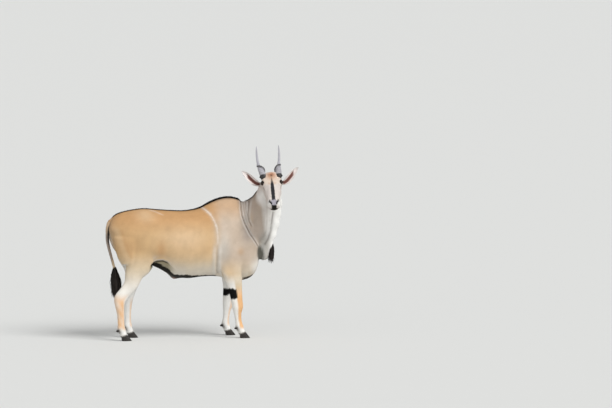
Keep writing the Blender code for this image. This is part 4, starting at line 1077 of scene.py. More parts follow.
def paint_legs(tones, points):
    """White legs with tan fronts, black bands above the knees and dark rings over the hooves."""
    x, y, z = points.T
    ahead, outward = leg_places(points)
    fore, leg = x > 0, fade(z, 0.56, 0.70)
    front = ramp(ahead + 0.20 * outward, 0.00, 0.30)
    shin = fade(z, 0.44, 0.58) * ramp(z, 0.085, 0.12) * fore * front
    edge = 0.003 * np.sin(ahead * 9 + outward * 7) + 0.002 * np.sin(ahead * 23 - outward * 17)
    low, high = np.where(y < 0, 0.418, 0.430), np.where(y < 0, 0.536, 0.506)
    rounded = 0.040 * np.clip(ahead + 0.60, 0, 1) ** 2
    band = ramp(z + edge - rounded - low, -0.006, 0.006) * fade(
        z - edge + rounded - high, -0.006, 0.006
    )
    hind = (x < 0) * fade(z, 0.50, 0.80)
    rear = ramp(outward * 0.8 - ahead * 0.6, -0.15, 0.45)
    blotch = 0.62 + 0.22 * np.sin(z * 31 + 2) * np.sin(ahead * 3 + z * 17)
    layers = [
        (WHITE, leg * fore * 0.85),
        (CREAM, leg * ramp(z, 0.42, 0.54) * fore * front),
        (LEG_TAN, shin * np.where(y < 0, 0.95, 0.55)),
        (BLACK, band * fore * np.maximum(ramp(-ahead, -0.14, 0.02), ramp(-outward, -0.05, 0.25))),
        (WHITE, hind * 0.80),
        (LEG_TAN, hind * rear * fade(z, 0.42, 0.52) * ramp(z, 0.10, 0.16) * blotch * (y < 0)),
        (LEG_TAN, hind * ramp(ahead, 0.15, 0.55) * fade(z, 0.34, 0.46) * ramp(z, 0.10, 0.14) * 0.5),
        (WHITE, near(z - 0.085, 0.028) * 0.8),
        (UMBER, near(np.hypot(ahead + 0.9, (z - 0.105) / 0.05), 0.55) * (z < 0.16) * 0.8),
        (UMBER, fade(z, 0.054 + 0.010 * ahead, 0.070 + 0.010 * ahead) * 0.9),
    ]
    return layered(tones, layers)


def paint_sides(tones, points, normals):
    """Pale stripes of flank and loin, and painted shade in the creases of elbow and neck, with painted
    highlights on the ridges beside them.
    """
    x, y, z = points.T
    wide = np.abs(y)
    beside = ramp(np.abs(normals[:, 1]), 0.10, 0.40)
    stripe = side_gap(points, SHOULDER_STRIPE)
    wobble = 0.0020 * np.sin(z * 41) + 0.0012 * np.sin(z * 97 + 1)
    crease_gap = side_gap(points, ELBOW_CREASE)
    soft = steps_of(z, [(0.66, 0.0065), (0.76, 0.0120), (0.90, 0.0150), (1.02, 0.0150)])
    depth = steps_of(z, [(0.62, 0.75), (0.72, 0.30), (0.90, 0.18), (1.00, 0.0)])
    elbow = beside * (wide > 0.10)
    layers = [
        (WHITE, near(stripe + wobble, 0.0068) * steps_of(z, [(1.02, 0.20), (1.12, 0.40), (1.25, 0.66)])),
        (FAWN, near(stripe - 0.016, 0.010) * 0.35 * (z > 1.1)),
        # painted shade in the elbow's crease, darker low down, and a painted highlight on the ridges beside
        # it
        (UMBER, near(crease_gap, soft) * depth * elbow),
        (WHITE, near(crease_gap - 0.030, 0.020) * 0.32 * elbow * fade(z, 0.94, 1.04)),
        (WHITE, near(side_gap(points, LOIN_STRIPE), 0.0050) * 0.28 * (wide > 0.05)),
    ]
    for path, depth in zip(NECK_FOLDS, (0.68, 0.60, 0.36, 0.36)):
        gap = side_gap(points, path)
        shown = depth * beside * (y < 0) * ramp(z - path[-1][1], -0.012, 0.030)
        # painted shade in the neck's folds and painted highlights on the ridges beside them, on the near
        # side
        layers += [
            (WHITE, near(gap - 0.015, 0.008) * shown * 0.40), (UMBER, near(gap, 0.0065) * shown)
        ]
    return layered(tones, layers)


def paint_lines(tones, points):
    """The dark lines of the back, the flank's fold and the belly, and painted shade on the belly under the
    flank's fold.
    """
    x, y, z = points.T
    wide = np.abs(y)
    top, bottom = (np.interp(x, OUTLINE[0], OUTLINE[k]) for k in (1, 2))
    drop = steps_of(x, BACK_LINE) * (1 + 0.12 * np.sin(x * 90) + 0.08 * np.sin(x * 233))
    half = steps_of(x, [(0.05, 0.036), (0.30, 0.050)])
    ends = ramp(x, -0.77, -0.74) * fade(x, 0.640, 0.670)
    back = fade(top - z, drop, drop + 0.004) * near(wide / half, 1.0) ** 2 * ends
    fold = z - steps_of(x, FLANK_FOLD)
    behind = x > FLANK_FOLD[0][0]
    under = (x > FLANK_FOLD[0][0] - 0.01) * fade(x, -0.20, -0.09) * fade(fold, -0.006, 0.006) * (wide > 0.04)
    keel = steps_of(x, BELLY_LINE) * (1 + 0.06 * np.sin(x * 60) + 0.05 * np.sin(x * 140))
    low = fade(z - bottom, keel, keel + 0.006) * fade(wide, 0.160, 0.210)
    low = low * (x > -0.38) * (x < 0.36) * (z > bottom - 0.02)
    groin = near(y - 0.050, 0.055) * fade(x, -0.16, -0.02)
    patch = fade(z - bottom, 0.028, 0.040) * ramp(x, 0.640, 0.670) * fade(x, 0.755, 0.775) * (wide < 0.12)
    layers = [
        (BLACK, back * 0.93),
        # painted shade on the belly under the flank's fold
        (PAINTED_SHADE_OLIVE, under * (wide < 0.26) * 0.75),
        (BLACK, near(fold + 0.006, 0.0085) * behind * fade(x, -0.215, -0.165) * (wide > 0.08) * 0.95),
        (BLACK, low * (0.97 - 0.80 * groin)),
        (BROWN_BLACK, patch * 0.93),
        (PINK, near(np.linalg.norm(points - (-0.09, 0.0, 0.630), axis=1), 0.024) * 0.9),
    ]
    return layered(tones, layers)


def paint_body(points, normals):
    """The coat's colours on the trunk, neck, tail and legs, with painted shadow between the tail and the
    rump.
    """
    x, y, z = points.T
    wide = np.abs(y)
    tones = paint_throat(paint_trunk(points), points)
    under = ramp(-normals[:, 2], 0.25, 0.80) * fade(z, 0.85, 1.00) * (x < 0.70)
    inner = ramp(-normals[:, 1] * np.sign(y), 0.05, 0.60) * fade(z, 0.80, 0.95) * fade(wide, 0.16, 0.20)
    tones = layered(tones, [(WHITE, under * 0.45), (WHITE, inner * 0.85)])
    tones = paint_lines(paint_sides(paint_legs(tones, points), points, normals), points)
    crest = distance_to_path(points, neck_rows(40)[14:, :3])
    axis = np.array([place for place, radius in TAIL[1:]])
    tail = distance_to_path(points, axis)
    on_tail = (tail < 0.034) * ramp(-x, 0.745, 0.765) * (z < 1.25)
    # painted shadow on the rump beside the tail's root
    painted_tail_shadow = near(tail, 0.036) * ramp(-x, 0.730, 0.745) * ramp(z, 1.00, 1.12) * fade(z, 1.18, 1.25)
    inward = ramp(x - np.interp(z, axis[::-1, 2], axis[::-1, 0]), -0.010, 0.002)
    rear = near(np.hypot(y / 0.055, (z - 1.08) / 0.13), 1.0) * (x < -0.72) * (1 - (tail < 0.030))
    layers = [
        (UMBER, near(crest, 0.013) * 0.90 * ramp(x, 0.705, 0.725) * fade(x, 0.770, 0.795)),
        (BLACK, painted_tail_shadow * (wide < 0.06) * 0.95),
        (GREY_FAWN, on_tail * 0.9),
        (PALE_TAN, on_tail * ramp(z, 1.08, 1.22) * 0.8),
        # painted shadow on the tail's side that faces the rump
        (BLACK, on_tail * ramp(z, 0.94, 1.08) * fade(z, 1.19, 1.24) * inward * 0.90),
        (UMBER, on_tail * fade(z, 0.76, 0.86) * 0.8),
        (WHITE, rear * 0.55),
    ]
    return layered(tones, layers)


def spot_share(x, y, centre, reach):
    """1 on a round or oval spot, fading over its reach."""
    return near(np.hypot((x - centre[0]) / reach[0], (y - centre[1]) / reach[1]), 1.0)


def paint_brow(spots):
    """The face's ground colour, the patches of brow and forehead, and the whisker dots."""
    x, y, z = spots.T
    wide = np.abs(y)
    brow = near(np.linalg.norm(np.stack([x - 0.080, wide - 0.058, z + 0.02]), axis=0), 0.026)
    corner = near(np.linalg.norm(np.stack([x - 0.105, wide - 0.030, z + 0.005]), axis=0), 0.014)
    dots = np.maximum(np.sin(x * 560 + y * 90) * np.sin(z * 610 + y * 140), 0) ** 3
    return [
        (WHITE, near(np.hypot(x - 0.335, wide - 0.058), 0.030) * 0.85),
        (CREAM_WHITE, fade(x, 0.085, 0.125) * ramp(z, -0.09, -0.02) * 0.65),
        (PEACH, spot_share(x, y, (0.02, 0.0), (0.055, 0.060)) * ramp(z, -0.07, -0.02) * 0.75),
        (CREAM_WHITE, brow * 0.70),
        (ORANGE, corner * 0.45),
        (RUST, spot_share(x, y, (-0.004, 0.0), (0.030, 0.040)) * ramp(z, -0.06, -0.02) * 0.75),
        (UMBER, spot_share(x, y, (0.012, 0.0), (0.012, 0.010)) * ramp(z, -0.05, -0.02) * 0.85),
    ], dots * near(np.hypot(x - 0.318, z + 0.078), 0.024) * ramp(wide, 0.034, 0.044)


def paint_face(spots, normals):
    """The face's colours, and how matt each point is."""
    x, y, z = spots.T
    wide = np.abs(y)
    layers, dots = paint_brow(spots)
    stripe = steps_of(x, BLAZE) + 0.0012 * np.sin(x * 170) + 0.0008 * np.sin(x * 390 + y * 60)
    line = fade(wide, stripe, stripe + 0.005) * ramp(normals[:, 2], 0.0, 0.5) * ramp(x, 0.03, 0.06)
    half = steps_of(z, LOWER_LIP) + 0.0015 * np.sin(z * 300 + y * 200)
    layers += [
        (UMBER, line * 0.75),
        (FACE_STRIPE, line * ramp(x, 0.075, 0.105) * 0.95),
        (WHITE, fade(z, -0.16, -0.11) * ramp(x, 0.05, 0.15) * 0.6),
        (UMBER, dots * 0.75),
        (DARK_LIP, ramp(x, 0.350, 0.360) * fade(wide, half - 0.002, half + 0.008) * 0.96),
    ]
    face = layered(repeated(FACE_GREY, len(spots)), layers)
    pad = steps_of(x, [(0.295, 0.020), (0.320, 0.033), (0.345, 0.032), (0.362, 0.018)])
    nose = ramp(x + 0.003 * np.sin(y * 190) + 0.002 * np.sin(y * 470), 0.294, 0.310)
    nose = nose * fade(wide, pad, pad + 0.005) * fade(x, 0.357, 0.366) * ramp(z, -0.066, -0.052)
    groove = near(wide, 0.0020) * ramp(x, 0.325, 0.340)
    pebbles = 1 - 0.16 * (np.sin(x * 900) * np.sin(y * 760 + x * 200) > 0.2) - 0.45 * groove
    face += (np.array(NOSE) * pebbles[:, None] - face) * nose[:, None]
    matt = np.full(len(spots), MATT)
    matt += (MOIST - matt) * nose
    lips = np.minimum(*(distance_to_path(spots, line) for line in MOUTH_LINES))
    layers = [
        (DARK_LIP, near(lips, 0.0055) * ramp(x, 0.27, 0.33) * 0.90),
        (BLACK, near(lips, 0.0026) * ramp(x, 0.25, 0.30)),
    ]
    for side, line in zip((1, -1), NOSTRIL_LINES):
        hole = distance_to_path(spots, line)
        eye = eye_gap(spots, side) - EYE_RADIUS
        layers += [
            (DARK_LIP, near(hole, 0.0115) * 0.97),
            (BLACK, near(hole, 0.0070)),
            (UMBER, fade(eye, 0.006, 0.011)),
            (BLACK, fade(eye, 0.004, 0.0075)),
            (UMBER, near(distance_to_path(spots, mirrored(TEAR_LINE, side)), 0.0060) * 0.75),
        ]
        matt += (LEATHERY - matt) * fade(eye, 0.0, 0.0040)
        matt += (LEATHERY - matt) * near(hole, 0.008)
    matt += (LEATHERY - matt) * near(lips, 0.006)
    return layered(face, layers), matt


def paint_ear(spots, facing_share, side):
    """The dusky back of the ear and its pale cup with a dark red middle."""
    x, y, z = spots.T
    wide = np.abs(y)
    facing = unit(flipped(EAR_FACING, side))
    axis = np.array(mirrored([place for place, *rest in EAR], side))
    flat = spots - np.outer(spots @ facing, facing)
    aside = distance_to_path(flat, axis - np.outer(axis @ facing, facing))
    back = mix(repeated(FAWN, len(spots)), UMBER, ramp(wide, 0.24, 0.31) * 0.6)
    lines = 1 + 0.30 * np.sin(wide * 260 + x * 120) * np.sin(x * 410 + z * 90)
    middle = fade(aside, 0.0125, 0.022) * ramp(0.262 - wide, 0.0, 0.03) * 0.95
    layers = [
        (np.array(EAR_RED) * lines[:, None], middle),
        (UMBER, near(aside, 0.006) * ramp(0.25 - wide, 0.0, 0.05) * 0.6),
    ]
    cup = layered(repeated(EAR_PALE, len(spots)), layers)
    return back + (cup - back) * facing_share[:, None]


def paint_head(tones, spots, normals):
    """The colours of face and ears over tones, and how matt each point is, in the head's axes."""
    on = head_share(spots)
    face, matt = paint_face(spots, normals)
    tones = mix(tones, face, on)
    ears = ear_share(spots)
    inside = ears * ramp(normals[:, 2] * EAR_FACING[2] + normals[:, 0] * EAR_FACING[0], -0.15, 0.35)
    for side in (1, -1):
        ear = paint_ear(spots, inside / np.maximum(ears, 0.001), side)
        tones = mix(tones, ear, ears * (spots[:, 1] * side > 0))
    return tones, MATT + (matt - MATT) * on


def painted(points, normals):
    """Colour and mattness of the coat at each point of the model, in the table's axes."""
    tones, matt = paint_head(paint_body(points, normals), to_head(points), normals @ head_turn())
    return np.clip(np.column_stack([tones, matt]), 0.004, 1.0)


def lie_of(points):
    """The way the coat lies at each point, before it is laid on the skin."""
    x, y, z = points.T
    spots, turn, count = to_head(points), head_turn(), len(points)
    layers = [
        ((-0.75, 0.0, -0.66), fade(z, 0.95, 1.25) * 0.8),
        ((-0.45, 0.0, -0.90), ramp(x, 0.28, 0.50) * fade(z, 1.25, 1.45)),
        ((-0.50, 0.25, -0.83), ramp(x, 0.66, 0.82)),
        ((-0.15, 0.0, -0.99), ramp(x, 0.90, 1.00) * fade(z, 1.35, 1.50)),
        ((-0.10, 0.0, -0.99), fade(z, 0.62, 0.90)),
        ((-0.08, 0.0, -1.00), ramp(-x, 0.74, 0.78)),
    ]
    way = layered(repeated((-0.92, 0.0, -0.22), count), layers)
    outward = np.sign(spots[:, 1])
    face = mix(
        repeated((-0.95, 0.0, -0.12), count), (-0.75, 0.0, -0.65), ramp(-spots[:, 2], 0.07, 0.15)
    )
    face[:, 1] += outward * 0.30 * ramp(spots[:, 0], 0.00, 0.10) * 0.6
    along = np.stack([np.full(count, -0.45), 0.88 * outward, np.full(count, 0.04)], axis=1)
    return mix(mix(way, face @ turn.T, head_share(spots)), along @ turn.T, ear_share(spots))


def flattened(ways, normals):
    """The ways laid along the surface, one unit long."""
    laid = ways - normals * np.sum(ways * normals, axis=1)[:, None]
    return laid / np.maximum(np.linalg.norm(laid, axis=1), 1e-6)[:, None]


def coat_depth(points):
    depth = COAT_DEPTH + (LEG_DEPTH - COAT_DEPTH) * fade(points[:, 2], 0.25, 0.50)
    return depth + (FACE_DEPTH - depth) * head_share(to_head(points))


def fine_body_forms(points, normals):
    """Folds of the neck, ribs, the crease behind the elbow, tendons, and the hollow of the thighs."""
    x, y, z = points.T
    beside = ramp(np.abs(normals[:, 1]), 0.10, 0.50)
    move = np.zeros(len(points))
    for path, depth in zip(NECK_FOLDS, (0.0070, 0.0055, 0.0036, 0.0036)):
        gap = side_gap(points, path)
        fold = 0.50 * depth * near(gap - 0.024, 0.015) - depth * near(gap, 0.0140)
        move += fold * beside * (y < 0) * ramp(z - path[-1][1], 0.010, 0.090)
    gap = side_gap(points, THROAT_FOLD)
    move -= 0.006 * near(gap, 0.018) * beside * (np.abs(y) < 0.26) * ramp(z, 0.99, 1.07)
    gap = side_gap(points, ELBOW_CREASE)
    fold = 0.004 * near(gap - 0.034, 0.022) - 0.008 * near(gap, 0.015)
    move += fold * beside * (np.abs(y) > 0.10) * fade(z, 0.88, 1.02)
    gap = z - steps_of(x, FLANK_FOLD)
    flank = (x > FLANK_FOLD[0][0]) * fade(x, -0.23, -0.12) * (np.abs(y) > 0.08)
    move += (0.005 * near(gap - 0.016, 0.014) - 0.010 * near(gap + 0.012, 0.016)) * flank
    for start in RIB_TOPS:
        path = [(start, 1.280), (start - 0.030, 1.100), (start - 0.085, 0.880)]
        move += 0.0010 * near(side_gap(points, path), 0.016) * beside
    ahead, outward = leg_places(points)
    shin = (z > 0.15) * (z < 0.30)
    move -= 0.0028 * shin * near(ahead + 0.25, 0.16) * ramp(np.abs(outward), 0.55, 0.95)
    edge = distance_to_path(points, DEWLAP_EDGE)
    move += 0.0035 * np.sin(52 * z + 15 * x) * near(edge, 0.045)
    points += normals * move[:, None]
    points[:, 0] += steps_of(points[:, 2], THIGH_HOLLOW) * ramp(-points[:, 0], 0.52, 0.68)


def shape_head(mesh):
    """The fine forms of the head: brows, cheeks, lids, nostrils and the line of the mouth."""
    refine(mesh, in_head(to_head(read_points(mesh))))
    for reaches in DETAIL_REACHES:
        refine(mesh, in_details(to_head(read_points(mesh)), *reaches))
    spots = to_head(read_points(mesh))
    normals = head_normals(mesh)
    for form in [*both_sides(HEAD_SWELLS), *HEAD_MIDDLE_SWELLS]:
        swell(spots, normals, *form)
    for side in (1, -1):
        crease(spots, normals, mirrored(TEAR_LINE, side), 0.009, 0.005)
        crease(spots, normals, mirrored(CHEEK_RIDGE, side), 0.012, -0.005)
    write_points(mesh, from_head(spots))
    normals = head_normals(mesh)
    for side in (1, -1):
        crease(
            spots, normals, laid_on(mirrored(NOSTRIL, side), spots), NOSTRIL_RIM[0], -NOSTRIL_RIM[1]
        )
        crease(spots, normals, laid_on(mirrored(NOSTRIL, side), spots), *NOSTRIL_HOLE)
    write_points(mesh, from_head(spots))
    normals = head_normals(mesh)
    lips = np.minimum(
        *(distance_to_path(spots, laid_on(mirrored(MOUTH, side), spots)) for side in (1, -1))
    )
    lift = LIPS[1] * near(lips, LIPS[0]) - MOUTH_SLIT[1] * near(lips, MOUTH_SLIT[0])
    spots += normals * lift[:, None]
    for side in (1, -1):
        open_eye(spots, side)
    write_points(mesh, from_head(spots))


def fine_head_forms(mesh):
    """Wrinkles over the eye, veins of the face, the groove of the lip and the nostril's wing."""
    spots, normals = to_head(read_points(mesh)), head_normals(mesh)
    for side in (1, -1):
        far = eye_gap(spots, side)
        upper = ramp(normals[:, 2], -0.2, 0.4)
        rings = np.sin((far - EYE_RADIUS) * 900) * near(far - EYE_RADIUS - 0.012, 0.008)
        spots += normals * (0.0007 * rings * upper)[:, None]
        vein = [
            (0.130, 0.080, -0.075),
            (0.170, 0.075, -0.080),
            (0.215, 0.070, -0.074),
            (0.260, 0.066, -0.060),
        ]
        crease(spots, normals, mirrored(vein, side), 0.0050, -0.0022)
        branch = [(0.190, 0.073, -0.078), (0.225, 0.066, -0.095), (0.260, 0.064, -0.105)]
        crease(spots, normals, mirrored(branch, side), 0.0045, -0.0018)
        wing = [(0.296, 0.050, -0.050), (0.318, 0.055, -0.046), (0.338, 0.048, -0.044)]
        crease(spots, normals, mirrored(wing, side), 0.0070, -0.0030)
    groove = near(spots[:, 1], 0.0035) * ramp(spots[:, 0], 0.335, 0.350) * ramp(spots[:, 2], -0.062, -0.050)
    spots -= normals * (0.0022 * groove)[:, None]
    write_points(mesh, from_head(spots))


def ear_rows():
    """Rows along the left ear: place, half width, half angle of the cup and thickness."""
    return eased_rows([(*place, half, cup, thick) for place, half, cup, thick in EAR], EAR_ROWS)


def ear_skin(side):
    """A cupped leaf of skin, almost a tube at its root, which starts inside the head."""
    table = ear_rows()
    table[:, 1] *= side
    facing = unit(flipped(EAR_FACING, side))
    heading = np.gradient(table[:, :3], axis=0)
    rings = []
    for row, direction in zip(table, heading):
        along = unit(direction)
        front = unit(facing - along * (facing @ along))
        across = np.cross(along, front)
        half, cup, thick = row[3:]
        outer = half / math.sin(min(cup, math.pi / 2)) - 0.0004
        angle = np.linspace(-cup, cup, EAR_ARC)
        edge = np.clip((1 - np.abs(angle) / cup) * 5, 0.25, 1.0)
        inner = np.maximum(outer - thick * edge, 0.0006)
        shape = np.outer(np.sin(angle), across) - np.outer(np.cos(angle), front)
        ring = [row[:3] + outer * shape, row[:3] + (inner[:, None] * shape)[::-1]]
        rings.append(from_head(np.vstack(ring)))
    return loft("ear", rings)


def skin():
    """The whole hide in one piece, inside the coat, with the ears and the tail fused on."""
    body = clay()
    mesh = body.data
    points, normals = read_points(mesh), read_normals(mesh)
    fine_body_forms(points, normals)
    points -= normals * coat_depth(points)[:, None]
    write_points(mesh, points)
    shape_head(mesh)
    fine_head_forms(mesh)
    body = united(body, ear_skin(1))
    body = united(body, ear_skin(-1))
    body = united(body, round_path("tail", TAIL, 20, 60, -0.0015))
    for foot in FEET:
        point, normal = coronet(foot)
        drop = Vector(normal).normalized() * (0.05 - GAP)
        body = cut_away(body, flat_box("cut", Vector(point) - drop, normal, 0.12, 0.12, 0.10))
    points = read_points(body.data)
    share = np.zeros(len(points))
    joints = [((-0.775, 0.0, 1.245), 0.050)]
    for side in (1, -1):
        root = flipped(EAR_FOOT, side) - (0.0, 0.006 * side, 0.0)
        joints.append((from_head(root[None])[0], 0.034))
    for centre, reach in joints:
        share = np.maximum(share, np.exp(-((np.linalg.norm(points - centre, axis=1) / reach) ** 6)))
    relax(body.data, 5, share, push=0.30)
    body.name = "skin"
    return only_triangles(body)


def only_triangles(obj):
    work = bmesh.new()
    work.from_mesh(obj.data)
    bmesh.ops.triangulate(work, faces=work.faces)
    work.to_mesh(obj.data)
    work.free()
    obj.data.shade_smooth()
    return obj


def measured(points):
    """Places along x, and the heights of the back and of the belly there."""
    middle = points[np.abs(points[:, 1]) < 0.04]
    places = np.arange(-0.76, 0.80, 0.02)
    found = [middle[np.abs(middle[:, 0] - place) < 0.012, 2] for place in places]
    return places, np.array([level.max() for level in found]), np.array(
        [level.min() for level in found]
    )


def unwrapped(obj):
    """Lays the skin out flat on the map that its colours are kept on."""
    while obj.data.uv_layers:
        obj.data.uv_layers.remove(obj.data.uv_layers[0])
    obj.data.uv_layers.new(name="OFBake")
    bpy.context.view_layer.objects.active = obj
    obj.select_set(True)
    bpy.ops.object.mode_set(mode="EDIT")
    bpy.ops.mesh.select_all(action="SELECT")
    bpy.ops.uv.smart_project(angle_limit=math.radians(66), island_margin=0.001)
    bpy.ops.object.mode_set(mode="OBJECT")
    obj.select_set(False)


def set_tones(mesh, tones):
    layer = mesh.color_attributes.new("tone", "FLOAT_COLOR", "POINT")
    layer.data.foreach_set("color", tones.astype(np.float32).ravel())


def mesh_arrays(mesh):
    """Points, normals, corners of the triangles and their places on the unwrap."""
    corners = np.empty(len(mesh.loops), np.int32)
    mesh.loops.foreach_get("vertex_index", corners)
    places = np.empty(len(mesh.loops) * 2, np.float32)
    mesh.uv_layers["OFBake"].uv.foreach_get("vector", places)
    return read_points(mesh), read_normals(mesh), corners.reshape(-1, 3), places.reshape(-1, 3, 2)


def scattered(arrays, weight, count, chance):
    """Roots spread over the triangles by area and weight: points, normals, places on the unwrap."""
    points, normals, corners, places = arrays
    a, b, c = (points[corners[:, k]] for k in range(3))
    area = np.linalg.norm(np.cross(b - a, c - a), axis=1) / 2 * weight[corners].mean(axis=1)
    total = np.cumsum(area)
    picks = np.searchsorted(total, (np.arange(count) + chance.random(count)) / count * total[-1])
    picks = np.minimum(picks, len(corners) - 1)
    first, second = chance.random(count), chance.random(count)
    fold = first + second > 1
    first[fold], second[fold] = 1 - first[fold], 1 - second[fold]
    shares = np.stack([1 - first - second, first, second], axis=1)[:, :, None]
    roots = (points[corners[picks]] * shares).sum(axis=1)
    ways = (normals[corners[picks]] * shares).sum(axis=1)
    spots = (places[picks] * shares).sum(axis=1)
    return roots, ways / np.linalg.norm(ways, axis=1)[:, None], spots


def hair_mesh(name, spines, widths, facing, tones, places, thickness=0.30):
    """Solid locks in one mesh: spines are n rows of points, each lock three-sided and closed to a tip."""
    count, rows = spines.shape[:2]
    along = np.gradient(spines, axis=1)
    along /= np.maximum(np.linalg.norm(along, axis=2), 1e-9)[:, :, None]
    across = np.cross(along, facing[:, None, :])
    across /= np.maximum(np.linalg.norm(across, axis=2), 1e-9)[:, :, None]
    out = np.cross(across, along)
    half = widths[:, :, None] / 2
    low = out[:, :-1] * half * thickness
    sides = (across[:, :-1] * half - low, out[:, :-1] * half * 2 * thickness, -across[:, :-1] * half - low)
    rings = np.stack([spines[:, :-1] + way for way in sides], axis=2)
    points = np.concatenate([rings.reshape(count, -1, 3), spines[:, -1:]], axis=1)
    faces, below = [(0, 1, 2)], [True]
    for ring in range(rows - 2):
        for k in range(3):
            a, b = ring * 3 + k, ring * 3 + (k + 1) % 3
            faces += [(a, a + 3, b), (b, a + 3, b + 3)]
            below += [k == 2, k == 2]
    last, tip = (rows - 2) * 3, (rows - 1) * 3
    faces += [(last + k, tip, last + (k + 1) % 3) for k in range(3)]
    below += [k == 2 for k in range(3)]
    size = points.shape[1]
    one_lock = np.array(faces)
    faces = (np.array(faces)[None] + (np.arange(count) * size)[:, None, None]).reshape(-1, 3)
    mesh = bpy.data.meshes.new(name)
    mesh.vertices.add(count * size)
    mesh.vertices.foreach_set("co", points.astype(np.float32).ravel())
    mesh.loops.add(len(faces) * 3)
    mesh.loops.foreach_set("vertex_index", faces.astype(np.int32).ravel())
    mesh.polygons.add(len(faces))
    mesh.polygons.foreach_set("loop_start", np.arange(len(faces), dtype=np.int32) * 3)
    mesh.update(calc_edges=True)
    mesh.shade_smooth()
    round_ways = np.stack((across[:, :-1], out[:, :-1] * 0, -across[:, :-1]), axis=2).reshape(count, -1, 3)
    leans = np.concatenate([round_ways, np.zeros((count, 1, 3))], axis=1) * ROUNDNESS + facing[:, None]
    leans = leans[:, one_lock.ravel()]
    leans[:, np.repeat(below, 3)] = -out[:, :1]
    leans /= np.linalg.norm(leans, axis=2)[:, :, None]
    mesh.normals_split_custom_set(leans.reshape(-1, 3).astype(np.float32))
    rise = np.append(np.repeat(np.linspace(0, 1, rows)[:-1], 3), 1.0)
    shade = tones[:, 0][:, None] + (tones[:, 1] - tones[:, 0])[:, None] * rise[None, :, None]
    set_tones(mesh, np.clip(shade, 0.002, 1.0).reshape(-1, 4))
    sideways = np.append(np.tile((0.0, 0.5, 1.0), rows - 1), 0.5)
    patch = places[:, None] + (np.stack([sideways, rise], axis=1)[None] - 0.5) * PATCH
    layer = mesh.uv_layers.new(name="OFBake")
    layer.uv.foreach_set("vector", patch.reshape(-1, 2)[faces.ravel()].astype(np.float32).ravel())
    return placed(name, mesh)


def short_tufts(roots, normals, ways, lengths, widths, chance, lift=0.035, bend=0.55):
    """Spines and widths of tufts that rise from the skin and lie down along it."""
    count = len(roots)
    rows = np.array((0.0, 0.5, 1.0))
    rise = lift * (1 + 0.5 * chance.standard_normal(count))
    sink = lengths * 0.06
    step = ways[:, None] * rows[None, :, None] * lengths[:, None, None]
    height = (rise * lengths)[:, None] * (1 - bend * rows**2)[None] * (rows**0.8)[None]
    height -= sink[:, None] * (rows < 0.1)[None]
    spines = roots[:, None] + step + normals[:, None] * height[:, :, None]
    return spines, widths[:, None] * np.array((0.75, 1.0))[None]


def tuft_sizes(points):
    """Length and width of a tuft at each point."""
    spots = to_head(points)
    on, ears = head_share(spots), ear_share(spots)
    low = 1 - ramp(points[:, 2], 0.40, 0.70)
    fine = ramp(spots[:, 0], 0.20, 0.33) * on
    sizes = repeated(BODY_TUFT, len(points))
    sizes = mix(sizes, LEG_TUFT, low)
    sizes = mix(sizes, NECK_TUFT, ramp(points[:, 0], 0.55, 0.70) * ramp(points[:, 2], 0.85, 1.05))
    sizes = mix(sizes, FACE_TUFT, on)
    sizes *= (1 - 0.35 * fine)[:, None]
    return mix(sizes, EAR_TUFT, ears)


def bare_share(points, tones):
    """1 where no hair grows: nose pad, lips, lids and nostrils."""
    spots = to_head(points)
    bare = np.zeros(len(points))
    for side in (1, -1):
        bare = np.maximum(bare, fade(eye_gap(spots, side), EYE_RADIUS + 0.006, EYE_RADIUS + 0.009))
    for line in NOSTRIL_LINES:
        bare = np.maximum(bare, near(distance_to_path(spots, line), 0.009))
    for line in MOUTH_LINES:
        bare = np.maximum(bare, near(distance_to_path(spots, line), 0.0045))
    return np.maximum(bare, tones[:, 3] < MOIST + 0.12)


def coat(arrays):
    """The short coat of the whole body, as pieces of many tufts."""
    chance = np.random.default_rng(5)
    points, normals = arrays[0], arrays[1]
    tones = painted(points, normals)
    sizes = tuft_sizes(points)
    weight = (1 - bare_share(points, tones)) / (sizes[:, 0] * sizes[:, 1])
    inner_ear = ear_share(to_head(points)) * (sizes[:, 0] < 0.009)
    weight *= 1 - 0.3 * inner_ear
    roots, facing, places = scattered(arrays, weight, TUFTS, chance)
    order = np.argsort(roots[:, 0])
    roots, facing, places = roots[order], facing[order], places[order]
    tones = painted(roots, facing)
    sizes = tuft_sizes(roots) * chance.uniform(0.75, 1.30, (TUFTS, 1))
    ways = flattened(lie_of(roots), facing)
    ways = flattened(ways + chance.normal(0, 0.10, (TUFTS, 3)), facing)
    spines, widths = short_tufts(roots, facing, ways, sizes[:, 0], sizes[:, 1], chance)
    shift = 1 + chance.normal(0, 0.035, (TUFTS, 1))
    lower, upper = tones.copy(), tones.copy()
    lower[:, :3] *= shift * 0.96
    upper[:, :3] *= shift * 1.04
    pair = np.stack([lower, upper], axis=1)
    pieces = []
    for number, start in enumerate(range(0, TUFTS, TUFTS_PER_PIECE), 1):
        part = slice(start, start + TUFTS_PER_PIECE)
        name = "coat_" + str(number)
        pieces.append(
            hair_mesh(name, spines[part], widths[part], facing[part], pair[part], places[part])
        )
    return pieces


def nearest_places(tree, arrays, spots):
    """Places on the unwrap, and normals, of the skin nearest to the spots."""
    points, normals, corners, places = arrays
    found, ways = [], []
    for spot in spots:
        place, normal, face, far = tree.find_nearest(Vector(spot))
        a, b, c = (points[k] for k in corners[face])
        edge, side, gap = b - a, c - a, np.array(place) - a
        square, cross, other = edge @ edge, edge @ side, side @ side
        first, second = gap @ edge, gap @ side
        scale = max(square * other - cross * cross, 1e-18)
        u, v = (other * first - cross * second) / scale, (square * second - cross * first) / scale
        shares = np.array((1 - u - v, u, v))
        found.append(shares @ places[face])
        ways.append(shares @ normals[corners[face]])
    ways = np.array(ways)
    return np.array(found), ways / np.linalg.norm(ways, axis=1)[:, None]


